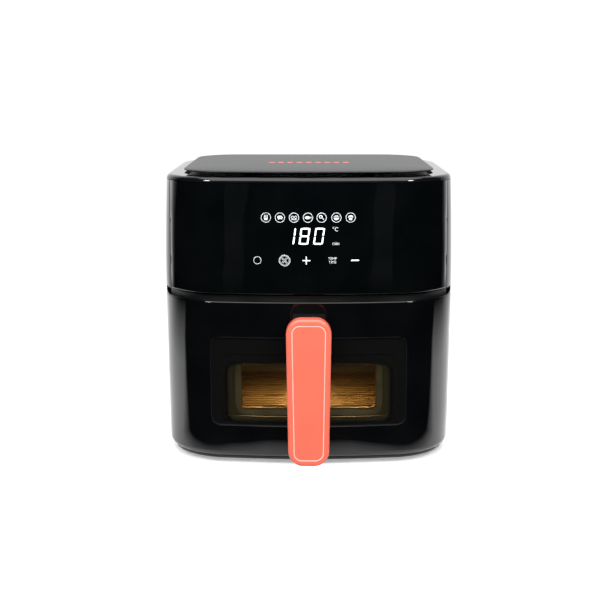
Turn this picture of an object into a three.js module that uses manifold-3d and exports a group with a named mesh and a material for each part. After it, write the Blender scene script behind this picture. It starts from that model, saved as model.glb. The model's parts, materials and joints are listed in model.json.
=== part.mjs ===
// Basket air fryer with a viewing window, as an assembly of separate pieces.
// Millimetres, +Z up, the front faces -Y, and the origin is under the middle of the object, on the table.
// The housing is a rounded box, widest at the seam between its upper front and the drawer. The drawer
// carries the pan and slides out along -Y, the crisper plate lifts inside the pan, and the fan spins on +Z.

import * as THREE from "three";
import { mergeVertices } from "three/addons/utils/BufferGeometryUtils.js";
import Module from "manifold-3d";

const wasm = await Module();
wasm.setup();

// ---------------------------------------------------------------- driving dimensions

const bodyWidth = 280; // at the seam, where the body is widest
const bodyDepth = 279;
const rimHeight = 274.5; // top of the frame round the lid
const footHeight = 5; // the body's underside above the table
const seamHeight = 166; // underside of the upper front
const topTaper = 2.5; // how far each side has drawn in at the rim
const baseTaper = 2; // and at the base
const frontRadius = 66;
const rearRadius = 62;
const frontCrown = 5; // how far the middle of the front stands before its corners
const wall = 3; // housing wall
const ventDrop = 78.5; // foot of the rear vent under the rim
const ventHeight = 48;
const inletX = -70; // cord inlet, low on the rear
const inletHeight = 60;
const trayDepth = 8; // intake tray under the frame
const bulkheadInset = 21; // wall behind the drawer's dark band, inside the body's front
const gap = 0.4; // clearance between neighbouring pieces
const rimFillet = 3.8; // outer edge at the rim
const baseFillet = 6; // and at the base

const rimFrameHeight = 4.6; // visible height of the frame round the lid
const rimFrameWidth = 17; // its flat width, seen from above
const lid = { sideInset: 20, frontInset: 14.5, backInset: 24.5, corner: 42, thickness: 2 };
const lidGap = 3.6; // air gap under the lid's edge
const lidCrown = 2;

const panelThickness = 3;
const panelHalfWidth = 132; // the control panel's ends, on the corner bends
const panelBacking = 2.4; // housing wall behind the panel
const displayWindow = { halfWidth: 62, above: 26, height: 58 }; // its foot above the seam
const keyRise = 32.5; // touch keys above the seam
const keyPlaces = [-47, -22, -2, 22, 43];

const bandHeight = 7; // dark band between the drawer front and the upper front
const drawerBottom = 7.5;
const drawerWall = 4;
const recess = { halfWidth: 93, low: 39, high: 125, corner: 9 };
const recessDepth = 1.6; // sunk field round the window
const outerPane = { halfWidth: 82, low: 43, high: 108, corner: 8 };
const outerPaneThickness = 3;
const gasketWidth = 4;

const panSideMargin = 34; // body's side to the pan's wall
const panFrontMargin = 31.5; // body's front to the outside of the pan's front wall
const panRearMargin = 35.5;
const panFloor = 20; // underside of the pan
const panHeight = 104;
const panWall = 1.8;
const panCorner = 30;
const panFlange = 6; // rolled rim, standing out all round
const panDraft = 3; // how far the walls lean in towards the floor
const innerPane = { halfWidth: 65.5, low: 49, high: 95, corner: 7 };
const innerPaneThickness = 3;
const innerFrameWidth = 4.5;
const rearRibs = { count: 9, low: 52, pitch: 4.6, height: 2, depth: 1.6 };

const plateClearance = 2.5; // crisper plate to the pan's wall
const plateHeight = 13; // top of the pan's floor to the plate
const plateThickness = 2;
const plateSlot = { length: 24, width: 6, columns: 5, rows: 8 };
const plateSlotMargin = 2.5; // plate edge to the slot grid
const bumperRadius = 6;

const linerWall = 1.2;
const linerClearance = 4; // cavity wall to the pan's rim
const linerHeadroom = 12; // pan's rim to the outside of the cavity's roof
const linerCorner = 32;
const railWidth = 4;
const railHeight = 5;

const chamberMargin = 8; // pan's side to the heater chamber, above the cavity
const chamberHeight = 46;
const sheetMetal = 1.2;
const elementTube = 3.3;
const elementBand = 20; // between the spiral's inner and outer turn
const elementMargin = 20; // chamber wall to its outer turn
const elementTurns = 1.75;
const guardWire = 1.6;
const guardMargin = 6;

const shaftRadius = 3;
const fanMargin = 8; // fan to the spiral's inner turn
const coolingFanRadius = 44;
const motorRadius = 30;
const motorHeight = 34;

const grip = { topWidth: 41, bottomWidth: 37.5, length: 136.5, corner: 14, thickness: 15 };
const gripDrop = 6.5; // its top under the drawer front's top
const gripReach = 50; // front face of the grip before the drawer front
const gripBorder = 5.2; // border beside and under the inlaid cover
const gripTopBorder = 5.8; // and over it
const coverThickness = 2.4;
const neck = { width: 30, height: 21, drop: 10.5 };
const neckScrewEdge = 5.5;

const glandReach = 5; // cord inlet behind the rear face

// ---------------------------------------------------------------- derived places

const frontY = -bodyDepth / 2;
const rearY = bodyDepth / 2;
const splitY = frontY + frontRadius + frontCrown; // the drawer front wraps the corners back to here
const drawerTop = seamHeight - bandHeight;
const neckHigh = drawerTop - neck.drop;
const neckLow = neckHigh - neck.height;
const gripHigh = drawerTop - gripDrop;
const panHalfWidth = bodyWidth / 2 - panSideMargin;
const panFront = frontY + panFrontMargin;
const panRear = rearY - panRearMargin;
const chamberRadius = Math.min(panHalfWidth, (panRear - panFront) / 2) - chamberMargin;
const elementOuter = chamberRadius - elementMargin;
const elementInner = elementOuter - elementBand;
const guardRadius = chamberRadius - guardMargin;
const convectionFanRadius = elementInner - fanMargin;
const rimFrameLow = rimHeight - rimFrameHeight;
const ventLow = rimHeight - ventDrop;
const ventMiddle = ventLow + ventHeight / 2;
const panTop = panFloor + panHeight;
const panInsideFloor = panFloor + panWall;
const linerTop = panTop + linerHeadroom;
const cavityCentreY = (panFront + panRear) / 2;
const guardHeight = linerTop + sheetMetal + 3;
const elementHeight = guardHeight + guardWire + 10;
const chamberTop = linerTop + sheetMetal + gap + chamberHeight;
const convectionFanHeight = elementHeight + 12;
const motorLow = chamberTop + 14;
const motorTop = motorLow + motorHeight;
const coolingFanLow = motorTop + 5;
const bodyShift = (gripReach - glandReach) / 2; // brings the middle of the whole object over the origin

// ---------------------------------------------------------------- colours

const colour = (hex, roughness, metalness = 0, opacity = 1) =>
  new THREE.MeshStandardMaterial({ color: hex, roughness, metalness, opacity, transparent: opacity < 1 });
const glossBlack = colour("#0b0c0d", 0.12);
const satinBlack = colour("#1a1b1c", 0.45);
const lidGrey = colour("#38393b", 0.5);
const coral = colour("#f5725c", 0.3);
const darkCoat = colour("#2b2623", 0.5);
const steel = colour("#b9bcbe", 0.35, 1);
const smokedGlass = colour("#17130d", 0.05, 0, 0.5);
const clearGlass = colour("#d8d4c8", 0.05, 0, 0.3);
const rubber = colour("#202020", 0.8);
const silicone = colour("#2f3133", 0.7);
const boardGreen = colour("#1f5a35", 0.6);
const whitePlastic = colour("#e8e6df", 0.5);
const brass = colour("#b58a3c", 0.35, 1);

// ---------------------------------------------------------------- solids

// A closed three.js geometry as a manifold-3d solid.
function solid(geometry) {
  const bare = new THREE.BufferGeometry().setAttribute("position", geometry.getAttribute("position"));
  if (geometry.index) bare.setIndex(geometry.index);
  const merged = mergeVertices(bare, 1e-4);
  const vertProperties = new Float32Array(merged.attributes.position.array);
  const triVerts = new Uint32Array(merged.index.array);
  return new wasm.Manifold(new wasm.Mesh({ numProp: 3, vertProperties, triVerts }));
}

// A manifold-3d solid as a three.js geometry.
function geometryOf(made) {
  const mesh = made.getMesh();
  const geometry = new THREE.BufferGeometry();
  geometry.setAttribute("position", new THREE.BufferAttribute(new Float32Array(mesh.vertProperties), 3));
  geometry.setIndex(new THREE.BufferAttribute(new Uint32Array(mesh.triVerts), 1));
  geometry.computeVertexNormals();
  return geometry;
}

const join = (...parts) => parts.reduce((sum, part) => sum.add(part));
const cut = (whole, ...tools) => tools.reduce((rest, tool) => rest.subtract(tool), whole);

function box(low, high) {
  const size = high.map((value, axis) => value - low[axis]);
  const centre = high.map((value, axis) => (value + low[axis]) / 2);
  return solid(new THREE.BoxGeometry(...size).translate(...centre));
}

// A cylinder standing on z = low at (x, y).
function rod(radius, low, high, x = 0, y = 0, sides = 24) {
  const geometry = new THREE.CylinderGeometry(radius, radius, high - low, sides);
  return solid(geometry.rotateX(Math.PI / 2).translate(x, y, (low + high) / 2));
}

// A turned solid round the vertical through (x, y), from [radius, height] points from axis to axis.
function turned(profile, x = 0, y = 0, sides = 40) {
  const points = profile.map(([radius, height]) => new THREE.Vector2(radius, height));
  return solid(new THREE.LatheGeometry(points, sides).rotateX(Math.PI / 2).translate(x, y, 0));
}

// A rounded rectangle in x and z, as a three.js shape; its bottom edge may be narrower than its top.
function roundedShape({ halfWidth, low, high, corner }, lowHalfWidth = halfWidth) {
  const shape = new THREE.Shape();
  const top = halfWidth;
  const base = lowHalfWidth;
  shape.moveTo(-base + corner, low);
  shape.lineTo(base - corner, low);
  shape.quadraticCurveTo(base, low, base, low + corner);
  shape.lineTo(top, high - corner);
  shape.quadraticCurveTo(top, high, top - corner, high);
  shape.lineTo(-top + corner, high);
  shape.quadraticCurveTo(-top, high, -top, high - corner);
  shape.lineTo(-base, low + corner);
  shape.quadraticCurveTo(-base, low, -base + corner, low);
  return shape;
}

// That shape pushed through from y = front to y = back.
function slab(shape, front, back, steps = 5) {
  const geometry = new THREE.ExtrudeGeometry(shape, {
    depth: back - front, bevelEnabled: false, curveSegments: steps,
  });
  return solid(geometry.rotateX(Math.PI / 2).translate(0, back, 0));
}

const grown = (opening, by) => ({
  ...opening,
  halfWidth: opening.halfWidth + by,
  low: opening.low - by,
  high: opening.high + by,
  corner: Math.max(opening.corner + by, 1),
});

// A plan outline, anticlockwise from above: straight sides, round corners and a crowned front.
function plan(
  { halfWidth, front, back, frontCorner, rearCorner, crown = 0 },
  bendSteps = 8,
  crownSteps = 8,
) {
  const points = [];
  const bend = (x, y, radius, from) => {
    for (let step = 0; step <= bendSteps; step += 1) {
      const angle = from + (step / bendSteps) * (Math.PI / 2);
      points.push([x + radius * Math.cos(angle), y + radius * Math.sin(angle)]);
    }
  };
  const cornerY = front + crown + frontCorner;
  bend(-halfWidth + frontCorner, cornerY, frontCorner, Math.PI);
  for (let step = 1; step < crownSteps; step += 1) {
    const share = (2 * step) / crownSteps - 1;
    points.push([share * (halfWidth - frontCorner), front + crown * share * share]);
  }
  bend(halfWidth - frontCorner, cornerY, frontCorner, -Math.PI / 2);
  bend(halfWidth - rearCorner, back - rearCorner, rearCorner, 0);
  bend(-halfWidth + rearCorner, back - rearCorner, rearCorner, Math.PI / 2);
  return points;
}

// A solid through a stack of [height, outline] levels, bottom first, with equal numbers of points.
function loft(levels) {
  const count = levels[0][1].length;
  const positions = levels.flatMap(([height, outline]) => outline.flatMap(([x, y]) => [x, y, height]));
  const index = [];
  for (let level = 0; level + 1 < levels.length; level += 1) {
    for (let point = 0; point < count; point += 1) {
      const here = level * count + point;
      const next = level * count + ((point + 1) % count);
      index.push(here, next, next + count, here, next + count, here + count);
    }
  }
  const lid = THREE.ShapeUtils.triangulateShape(levels.at(-1)[1].map((p) => new THREE.Vector2(...p)), []);
  const floor = THREE.ShapeUtils.triangulateShape(levels[0][1].map((p) => new THREE.Vector2(...p)), []);
  const lastLevel = (levels.length - 1) * count;
  lid.forEach(([a, b, c]) => index.push(lastLevel + a, lastLevel + b, lastLevel + c));
  floor.forEach(([a, b, c]) => index.push(a, c, b));
  const geometry = new THREE.BufferGeometry();
  geometry.setAttribute("position", new THREE.Float32BufferAttribute(positions, 3));
  geometry.setIndex(index);
  return solid(geometry);
}

// How far the crowned front has fallen back at a distance from its middle.
const crownAt = (x) => frontCrown * (x / (bodyWidth / 2 - frontRadius)) ** 2;

// How far the body's sides have drawn in at a height: nothing at the seam, more towards rim and base.
function taperAt(height) {
  const above = height > seamHeight;
  const reach = above ? rimHeight - seamHeight : seamHeight - footHeight;
  const share = (height - seamHeight) / reach;
  return (above ? topTaper : baseTaper) * share * share;
}

// The body's plan at a height, drawn in by a further inset.
function bodyPlan(height, inset = 0) {
  const total = taperAt(height) + inset;
  return plan({
    halfWidth: bodyWidth / 2 - total,
    front: frontY + total,
    back: rearY - total,
    frontCorner: frontRadius - total,
    rearCorner: rearRadius - total,
    crown: frontCrown,
  });
}

// The body between two heights, inset by a wall, with rounded edges where asked.
function bodySolid(low, high, inset = 0, { lowFillet = 0, highFillet = 0 } = {}) {
  const levels = [];
  const level = (height, extra) => levels.push([height, bodyPlan(height, inset + extra)]);
  const arcSteps = 3;
  for (let step = 0; step < arcSteps && lowFillet; step += 1) {
    const angle = (step / arcSteps) * (Math.PI / 2);
    level(low + lowFillet * (1 - Math.cos(angle)), lowFillet * (1 - Math.sin(angle)));
  }
  const straightLow = low + lowFillet;
  const straightHigh = high - highFillet;
  const spans = Math.max(1, Math.round((straightHigh - straightLow) / 36));
  for (let step = 0; step <= spans; step += 1) {
    level(straightLow + ((straightHigh - straightLow) * step) / spans, 0);
  }
  for (let step = 1; step <= arcSteps && highFillet; step += 1) {
    const angle = (step / arcSteps) * (Math.PI / 2);
    level(straightHigh + highFillet * Math.sin(angle), highFillet * (1 - Math.cos(angle)));
  }
  return loft(levels);
}

// ---------------------------------------------------------------- the assembly

const model = new THREE.Group();
const body = new THREE.Group();
body.position.y = bodyShift;
model.add(body);

function place(name, made, material, parent = body) {
  const mesh = new THREE.Mesh(geometryOf(made), material);
  mesh.name = name;
  parent.add(mesh);
}

// ---------------------------------------------------------------- housing

const farOut = bodyWidth; // well past the body, for cutting boxes

function housingShell() {
  const low = footHeight + baseFillet + 1.5;
  const outer = bodySolid(low, rimFrameLow - gap);
  const inner = bodySolid(low - 1, rimFrameLow + 1, wall);
  // The front above the seam is thick enough to carry the control panel in a shallow step.
  const frontBlock = cut(
    outer.intersect(
      box(
        [-panelHalfWidth - 6, frontY - 5, seamHeight],
        [panelHalfWidth + 6, splitY - 20, rimFrameLow - trayDepth - gap],
      )),
    bodySolid(low, rimFrameLow + 1, panelThickness + gap + panelBacking),
  );
  const sill = cut(
    bodySolid(seamHeight, seamHeight + 2.4, 1).intersect(
      box([-farOut, -farOut, seamHeight], [farOut, splitY, rimFrameLow])),
    bodySolid(low, rimFrameLow, bulkheadInset - gap),
  );
  const step = cut(
    box(
      [-panelHalfWidth - gap, frontY - 5, seamHeight - 1],
      [panelHalfWidth + gap, splitY, rimFrameLow + 1],
    ),
    bodySolid(low, rimFrameLow + 2, panelThickness + gap),
  );
  const { halfWidth, above, height } = displayWindow;
  const windowLow = seamHeight + above;
  const window = box([-halfWidth, frontY - 5, windowLow], [halfWidth, splitY, windowLow + height]);
  const drawerSlot = box([-farOut, -farOut, 0], [farOut, splitY + gap, seamHeight]);
  const vent = box([-58, rearY - 20, ventLow], [58, rearY + 10, ventLow + ventHeight]);
  const inlet = rod(8 + gap, -20, 20, 0, 0).rotate([90, 0, 0]).translate([inletX, rearY, inletHeight]);
  return cut(join(cut(outer, inner), frontBlock, sill), step, window, drawerSlot, vent, inlet);
}

function basePlate() {
  const high = footHeight + baseFillet + 1.5 - gap;
  const plate = bodySolid(footHeight, high, 0, { lowFillet: baseFillet });
  const hollow = bodySolid(footHeight + 3, high + 1, wall + 1);
  const drawerRoom = box([-farOut, -farOut, 0], [farOut, splitY + gap, high + 1]);
  const chin = bodySolid(footHeight, drawerBottom - gap, wall + 2).intersect(
    box([-farOut, -farOut, footHeight], [farOut, splitY + 4, drawerBottom - gap]),
  );
  const lip = box([-96, splitY + gap, footHeight], [96, splitY + 4, drawerBottom - gap]);
  return join(cut(plate, hollow, drawerRoom), chin, lip);
}

const footSideMargin = 52;
const footEndMargin = 55.5;
const footX = bodyWidth / 2 - footSideMargin;
const footPlaces = [frontY + footEndMargin, rearY - footEndMargin]
  .flatMap((y) => [[-footX, y], [footX, y]]);

function foot(x, y) {
  return turned([[0, 0], [9, 0], [10.5, 1.2], [10.5, footHeight - gap], [0, footHeight - gap]], x, y, 20);
}

function topFrame() {
  const outer = bodySolid(rimFrameLow, rimHeight, 0, { highFillet: rimFillet });
  const opening = bodySolid(rimFrameLow - 1, rimHeight + 1, rimFrameWidth);
  return cut(outer, opening);
}

// The slotted tray inside the frame, which the lid stands on and air is drawn through.
function intakeTray() {
  const tray = bodySolid(rimFrameLow - 3, rimFrameLow + 0.5, rimFrameWidth + gap);
  const slotReach = bodyWidth / 2 - 56;
  const slots = [-70, -35, 0, 35, 70]
    .map((y) => box([-slotReach, y - 5, 0], [slotReach, y + 5, rimHeight]));
  const posts = [[-60, -52], [60, -52], [-60, 52], [60, 52]].map(([x, y]) =>
    rod(5, rimFrameLow - 1, rimHeight + lidGap - gap, x, y, 12));
  const rim = cut(
    bodySolid(rimFrameLow - trayDepth, rimFrameLow - gap, wall + gap),
    bodySolid(rimFrameLow - trayDepth - 1, rimFrameLow + 1, rimFrameWidth + gap + 2),
  );
  return join(cut(tray, ...slots), rim, ...posts);
}

function lidPlan(inset) {
  return plan({
    halfWidth: bodyWidth / 2 - lid.sideInset - inset,
    front: frontY + lid.frontInset + inset,
    back: rearY - lid.backInset - inset,
    frontCorner: lid.corner - Math.min(inset, lid.corner - 6),
    rearCorner: lid.corner - Math.min(inset, lid.corner - 6),
    crown: frontCrown,
  });
}

function topCover() {
  const base = rimHeight + lidGap;
  const shoulder = base + lid.thickness;
  const rounding = [[0, 1.2], [0.3, 0.4], [0.8, 0], [1.2, 0.1], [1.6, 0.5]];
  const edge = rounding.map(([rise, inset]) => [base + rise, lidPlan(inset)]);
  const crown = [[0, 1.6], [0.3, 8], [0.6, 20], [0.84, 40], [1, 72]];
  return loft([...edge, ...crown.map(([share, inset]) => [shoulder + lidCrown * share, lidPlan(inset)])]);
}

function controlPanel() {
  const low = seamHeight + gap;
  const high = rimFrameLow - gap;
  const skin = cut(bodySolid(low, high, 0, { lowFillet: 1.2 }),
      bodySolid(low - 1, high + 1, panelThickness));
  return skin.intersect(box([-panelHalfWidth, frontY - 5, low], [panelHalfWidth, splitY, high]));
}

// ---------------------------------------------------------------- electronics

const boardY = frontY + frontCrown + panelThickness + panelBacking + 14;
const keyHeight = seamHeight + keyRise;
const boardLow = keyHeight - 12.5;
const digitLow = keyHeight + 13.5;

function controlBoard() {
  return box([-60, boardY, boardLow], [60, boardY + 1.6, boardLow + 68]);
}

function displayModule() {
  const front = boardY - 8;
  const block = box([-26, front, digitLow - 4], [34, boardY - gap, digitLow + 34]);
  const digitWell = (x) => box([x - 5.5, front - 1, digitLow], [x + 5.5, front + 5, digitLow + 19]);
  return cut(block, digitWell(-12), digitWell(0), digitWell(12));
}

function touchSpring(x) {
  const front = frontY + panelThickness + 1 + crownAt(x);
  const disc = rod(4.5, 0, 1.2, 0, 0, 16);
  const stem = rod(2, 1, boardY - gap - front, 0, 0, 10);
  return join(disc, stem).rotate([-90, 0, 0]).translate([x, front, keyHeight]);
}

const powerBoardLow = chamberTop + 6.4;

function powerBoard() {
  return box([58, 20, powerBoardLow], [bodyWidth / 2 - 24, 96, powerBoardLow + 1.6]);
}

function relay() {
  const low = powerBoardLow + 1.6 + gap;
  return box([64, 26, low], [83, 41, low + 15]);
}

function transformer() {
  const low = powerBoardLow + 1.6 + gap;
  const core = box([88, 56, low], [110, 84, low + 20]);
  return join(core, box([92, 52, low + 3], [106, 88, low + 17]));
}

// ---------------------------------------------------------------- heater and fan

function chamberDish() {
  const low = linerTop + sheetMetal + gap;
  const inside = chamberRadius - sheetMetal;
  return cut(
    turned([
      [0, low], [chamberRadius + 8, low],
      [chamberRadius + 8, low + sheetMetal], [chamberRadius, low + sheetMetal],
      [chamberRadius - 6, chamberTop - 6], [chamberRadius - 14, chamberTop], [0, chamberTop],
    ], 0, cavityCentreY),
    turned([
      [0, low - 1], [inside, low - 1], [inside, low + 1], [inside - 6, chamberTop - 7],
      [inside - 13, chamberTop - sheetMetal], [0, chamberTop - sheetMetal],
    ], 0, cavityCentreY),
    rod(shaftRadius + 3, chamberTop - 5, chamberTop + 1, 0, cavityCentreY, 20),
  );
}

// The sheathed element: a flat spiral whose two ends turn up through the dish.
class SpiralRun extends THREE.Curve {
  getPoint(share, target = new THREE.Vector3()) {
    const angle = share * elementTurns * 2 * Math.PI;
    const radius = elementInner + (elementOuter - elementInner) * share;
    return target.set(radius * Math.cos(angle), radius * Math.sin(angle), 0);
  }
}

function heatingElement() {
  const section = new THREE.Shape();
  section.absarc(0, 0, elementTube, 0, 2 * Math.PI);
  const spiral = new THREE.ExtrudeGeometry(section, {
    steps: 60, curveSegments: 4, bevelEnabled: false, extrudePath: new SpiralRun(),
  });
  const end = (share) => {
    const { x, y } = new SpiralRun().getPoint(share);
    return rod(elementTube, elementHeight - elementTube, elementHeight + 26, x, cavityCentreY + y, 8);
  };
  return join(solid(spiral.translate(0, cavityCentreY, elementHeight)), end(0), end(1));
}

function elementGuard() {
  const ring = (radius) =>
    solid(new THREE.TorusGeometry(radius, guardWire, 5, 26).translate(0, cavityCentreY, guardHeight));
  const spoke = (degrees) =>
    rod(guardWire, -guardRadius, guardRadius, 0, 0, 6)
      .rotate([90, 0, degrees])
      .translate([0, cavityCentreY, guardHeight]);
  const rings = [1, 0.62, 0.28].map((share) => ring(guardRadius * share));
  return join(...rings, spoke(20), spoke(80), spoke(140));
}

function bladedFan(radius, low, height, blades, lean) {
  const hub = rod(9, low, low + height, 0, cavityCentreY, 20);
  const disc = rod(radius * 0.5, low, low + 1.6, 0, cavityCentreY, 28);
  const bore = rod(shaftRadius + 0.05, low - 1, low + height + 1, 0, cavityCentreY, 24);
  const vanes = Array.from({ length: blades }, (_, number) =>
    box([7, -0.8, 0], [radius, 0.8, height - 1])
      .rotate([lean, 0, (360 * number) / blades])
      .translate([0, cavityCentreY, low + 0.5]));
  return cut(join(hub, disc, ...vanes), bore);
}

const nutLow = convectionFanHeight - 9;

function rotorShaft() {
  return rod(shaftRadius - 0.05, nutLow - 3, coolingFanLow + 12, 0, cavityCentreY, 24);
}

function fanNut() {
  return cut(
    rod(6.5, nutLow, nutLow + 8, 0, cavityCentreY, 6),
    rod(shaftRadius + 0.05, nutLow - 1, nutLow + 9, 0, cavityCentreY, 24),
  );
}

function motorStator() {
  const can = turned([
    [0, motorLow], [motorRadius - 4, motorLow], [motorRadius, motorLow + 4], [motorRadius, motorTop - 4],
    [motorRadius - 4, motorTop], [0, motorTop],
  ], 0, cavityCentreY, 32);
  return cut(can, rod(shaftRadius + 0.8, motorLow - 1, motorTop + 1, 0, cavityCentreY, 20));
}

// A bridge on the dish's flange that carries the motor.
function motorBracket() {
  const top = motorLow - gap;
  const strap = box([-chamberRadius - 4, cavityCentreY - 16, top - 2],
      [chamberRadius + 4, cavityCentreY + 16, top]);
  const legLow = linerTop + 2 * (sheetMetal + gap);
  const leg = (side) =>
    box([side * (chamberRadius + 3) - 1, cavityCentreY - 16, legLow],
        [side * (chamberRadius + 3) + 1, cavityCentreY + 16, top - 1]);
  return cut(join(strap, leg(-1), leg(1)), rod(shaftRadius + 4, top - 4, top + 2, 0, cavityCentreY, 20));
}

function thermalCutout() {
  return join(
    rod(8, chamberTop + gap, chamberTop + gap + 7, -46, cavityCentreY + 44, 20),
    box([-58, cavityCentreY + 41, chamberTop + gap], [-34, cavityCentreY + 47, chamberTop + gap + 1.5]),
  );
}

// The probe reaches through the cavity's rear wall, over the pan's rim.
function temperatureSensor() {
  const seat = linerWall + gap;
  const probe = join(rod(2.5, -11, seat + 1, 0, 0, 12), rod(6, seat, seat + 6, 0, 0, 6));
  return probe.rotate([-90, 0, 0]).translate([0, linerRear, sensorZ]);
}

// ---------------------------------------------------------------- cavity

const linerHalfWidth = panHalfWidth + panFlange + linerClearance;
const linerFront = splitY + 6;
const linerRear = panRear + panFlange + linerClearance;
const linerFloor = footHeight + baseFillet + 2.5;

function tunnel(low, high, inset, front) {
  const outline = plan({
    halfWidth: linerHalfWidth + linerWall - inset,
    front,
    back: linerRear + linerWall - inset,
    frontCorner: 1,
    rearCorner: linerCorner - inset,
  }, 5, 2);
  return loft([[low, outline], [high, outline]]);
}

// The sheet-metal tunnel that the pan slides into, with a collar that closes the body round its mouth
// and a round hole up to the heater.
function cavityLiner() {
  const outer = tunnel(linerFloor, linerTop, 0, linerFront);
  const collar = cut(
    bodySolid(linerFloor, seamHeight - 2, wall + gap).intersect(
      box([-farOut, linerFront, linerFloor], [farOut, linerFront + linerWall, seamHeight - 2])),
    rod(chamberRadius + 10, linerTop, seamHeight, 0, cavityCentreY, 32),
  );
  const inner = tunnel(linerFloor + linerWall, linerTop - linerWall, linerWall, linerFront - 9);
  const heaterHole = rod(chamberRadius - 4, linerTop - 5, linerTop + 1, 0, cavityCentreY, 40);
  const throughRear = (x, z, halfX, halfZ) =>
    box([x - halfX, linerRear - 1, z - halfZ], [x + halfX, linerRear + 3, z + halfZ]);
  return cut(join(outer, collar), inner, heaterHole,
    throughRear(lampX, lampZ, 10, 10),
    throughRear(switchX, switchZ, 4, 4),
    throughRear(0, sensorZ, 3.4, 3.4));
}

// The roof in front of the tunnel, over the pan's front, and the bulkhead up to the upper front's sill.
function cavityRoof() {
  const low = linerTop - linerWall;
  const front = box([-farOut, -farOut, low], [farOut, linerFront - gap, rimFrameLow]);
  const skin = cut(
    bodySolid(low, seamHeight + 12, bulkheadInset),
    bodySolid(linerTop, seamHeight + 13, bulkheadInset + linerWall),
  );
  return cut(skin.intersect(front),
      rod(chamberRadius - 4, linerTop - 5, linerTop + 1, 0, cavityCentreY, 40));
}

function rail(side) {
  const outside = side * (linerHalfWidth - gap);
  const inside = side * (linerHalfWidth - railWidth);
  const high = panTop - panWall - gap;
  return box(
    [Math.min(outside, inside), linerFront + 4, high - railHeight],
    [Math.max(outside, inside), linerRear - linerCorner - 2, high],
  );
}

const lampX = 70;
const lampZ = panTop - 12;
const switchX = -70;
const switchZ = panTop - 2;
const sensorZ = panTop + 6;

function lampHolder() {
  const back = linerRear + linerWall + gap;
  const cup = box([lampX - 14, back, lampZ - 14], [lampX + 14, back + 12, lampZ + 8]);
  return cut(cup, box([lampX - 9, back - 1, lampZ - 9], [lampX + 9, back + 9, lampZ + 5]));
}

function lampBulb() {
  const back = linerRear + linerWall + gap;
  return join(rod(2.2, -7, 7, 0, 0, 12), rod(3.2, -7.5, -4, 0, 0, 12)).rotate([0, 90, 0])
    .translate([lampX, back + 4.6, lampZ - 2]);
}

function lampLens() {
  return box([lampX - 9.5, linerRear + gap / 2, lampZ - 9.5],
      [lampX + 9.5, linerRear + linerWall - gap / 2, lampZ + 9.5]);
}

function drawerSwitch() {
  const back = linerRear + linerWall + gap;
  const block = box([switchX - 10, back, switchZ - 6], [switchX + 10, back + 9, switchZ + 6]);
  return cut(block,
    box([switchX - 2.6, back - 1, switchZ - 2.6], [switchX + 2.6, back + 6, switchZ + 2.6]));
}

function switchPlunger() {
  const front = panRear + panFlange + gap;
  const back = linerRear + linerWall + 3;
  return box([switchX - 2, front, switchZ - 2], [switchX + 2, back, switchZ + 2]);
}

function rearVentGrille() {
  const y = rearY - taperAt(ventMiddle);
  const high = ventLow + ventHeight;
  const plate = box([-58 + gap, y - 4.8, ventLow + gap], [58 - gap, y - 0.6, high - gap]);
  const slots = Array.from({ length: 7 }, (_, number) =>
    box([-50, y - 6, ventLow + 5 + number * 5.8], [50, y + 2, ventLow + 8 + number * 5.8]));
  const lip = cut(
    box([-60, y - 6.6, ventLow - 3], [60, y - 4.6, high + 3]),
    box([-50, y - 8, ventLow + 4], [50, y, high - 4]),
  );
  return cut(join(plate, lip), ...slots);
}

function cordInlet() {
  const y = rearY - taperAt(inletHeight);
  const sleeve = join(rod(11, y + gap, rearY + glandReach, 0, 0, 24), rod(8, y - 12, y + 1, 0, 0, 24));
  const bore = rod(4, y - 13, rearY + glandReach + 1, 0, 0, 16);
  return cut(sleeve, bore).rotate([-90, 0, 0]).translate([inletX, 0, inletHeight]);
}

// ---------------------------------------------------------------- drawer

const gripTopHalf = grip.topWidth / 2;
const gripBottomHalf = grip.bottomWidth / 2;
const gripFront = frontY - gripReach;
const screwZ = [neckLow + neckScrewEdge, neckHigh - neckScrewEdge];

function drawerFront() {
  const outer = bodySolid(drawerBottom, drawerTop, 0, { lowFillet: baseFillet, highFillet: 1.6 });
  const inner = bodySolid(drawerBottom + 3, drawerTop + 1, drawerWall);
  const behind = box([-farOut, splitY, 0], [farOut, farOut, rimHeight]);
  const sunk = cut(
    slab(roundedShape(recess), frontY - 5, frontY + frontCrown + 12, 4),
    bodySolid(0, drawerTop, recessDepth),
  );
  const opening = slab(roundedShape(grown(outerPane, gap)), frontY - 5, frontY + 30, 4);
  const screwHoles = screwZ.map((z) =>
    rod(2.4, -8, 12, 0, 0, 12).rotate([90, 0, 0]).translate([0, frontY + 2, z]));
  return cut(cut(outer, inner), behind, sunk, opening, ...screwHoles);
}

// The pane is a flat slab whose outside follows the sunk field.
function outerWindow() {
  const field = recessDepth + 0.3;
  const skin = cut(bodySolid(0, drawerTop, field),
      bodySolid(-1, drawerTop + 1, field + outerPaneThickness));
  return skin.intersect(slab(roundedShape(outerPane), frontY - 5, frontY + 30, 4));
}

function windowGasket() {
  const depth = drawerWall + gap;
  const skin = cut(bodySolid(0, drawerTop, depth + 0.9), bodySolid(-1, drawerTop + 1, depth + 3));
  const ring = cut(
    slab(roundedShape(grown(outerPane, gasketWidth)), frontY - 5, frontY + 30, 4),
    slab(roundedShape(grown(outerPane, -gasketWidth)), frontY - 6, frontY + 31, 4),
  );
  return skin.intersect(ring);
}

const linerSkinInset = drawerWall + 4;
const bossX = 81; // the two posts that carry the pan, beside its window

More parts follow.
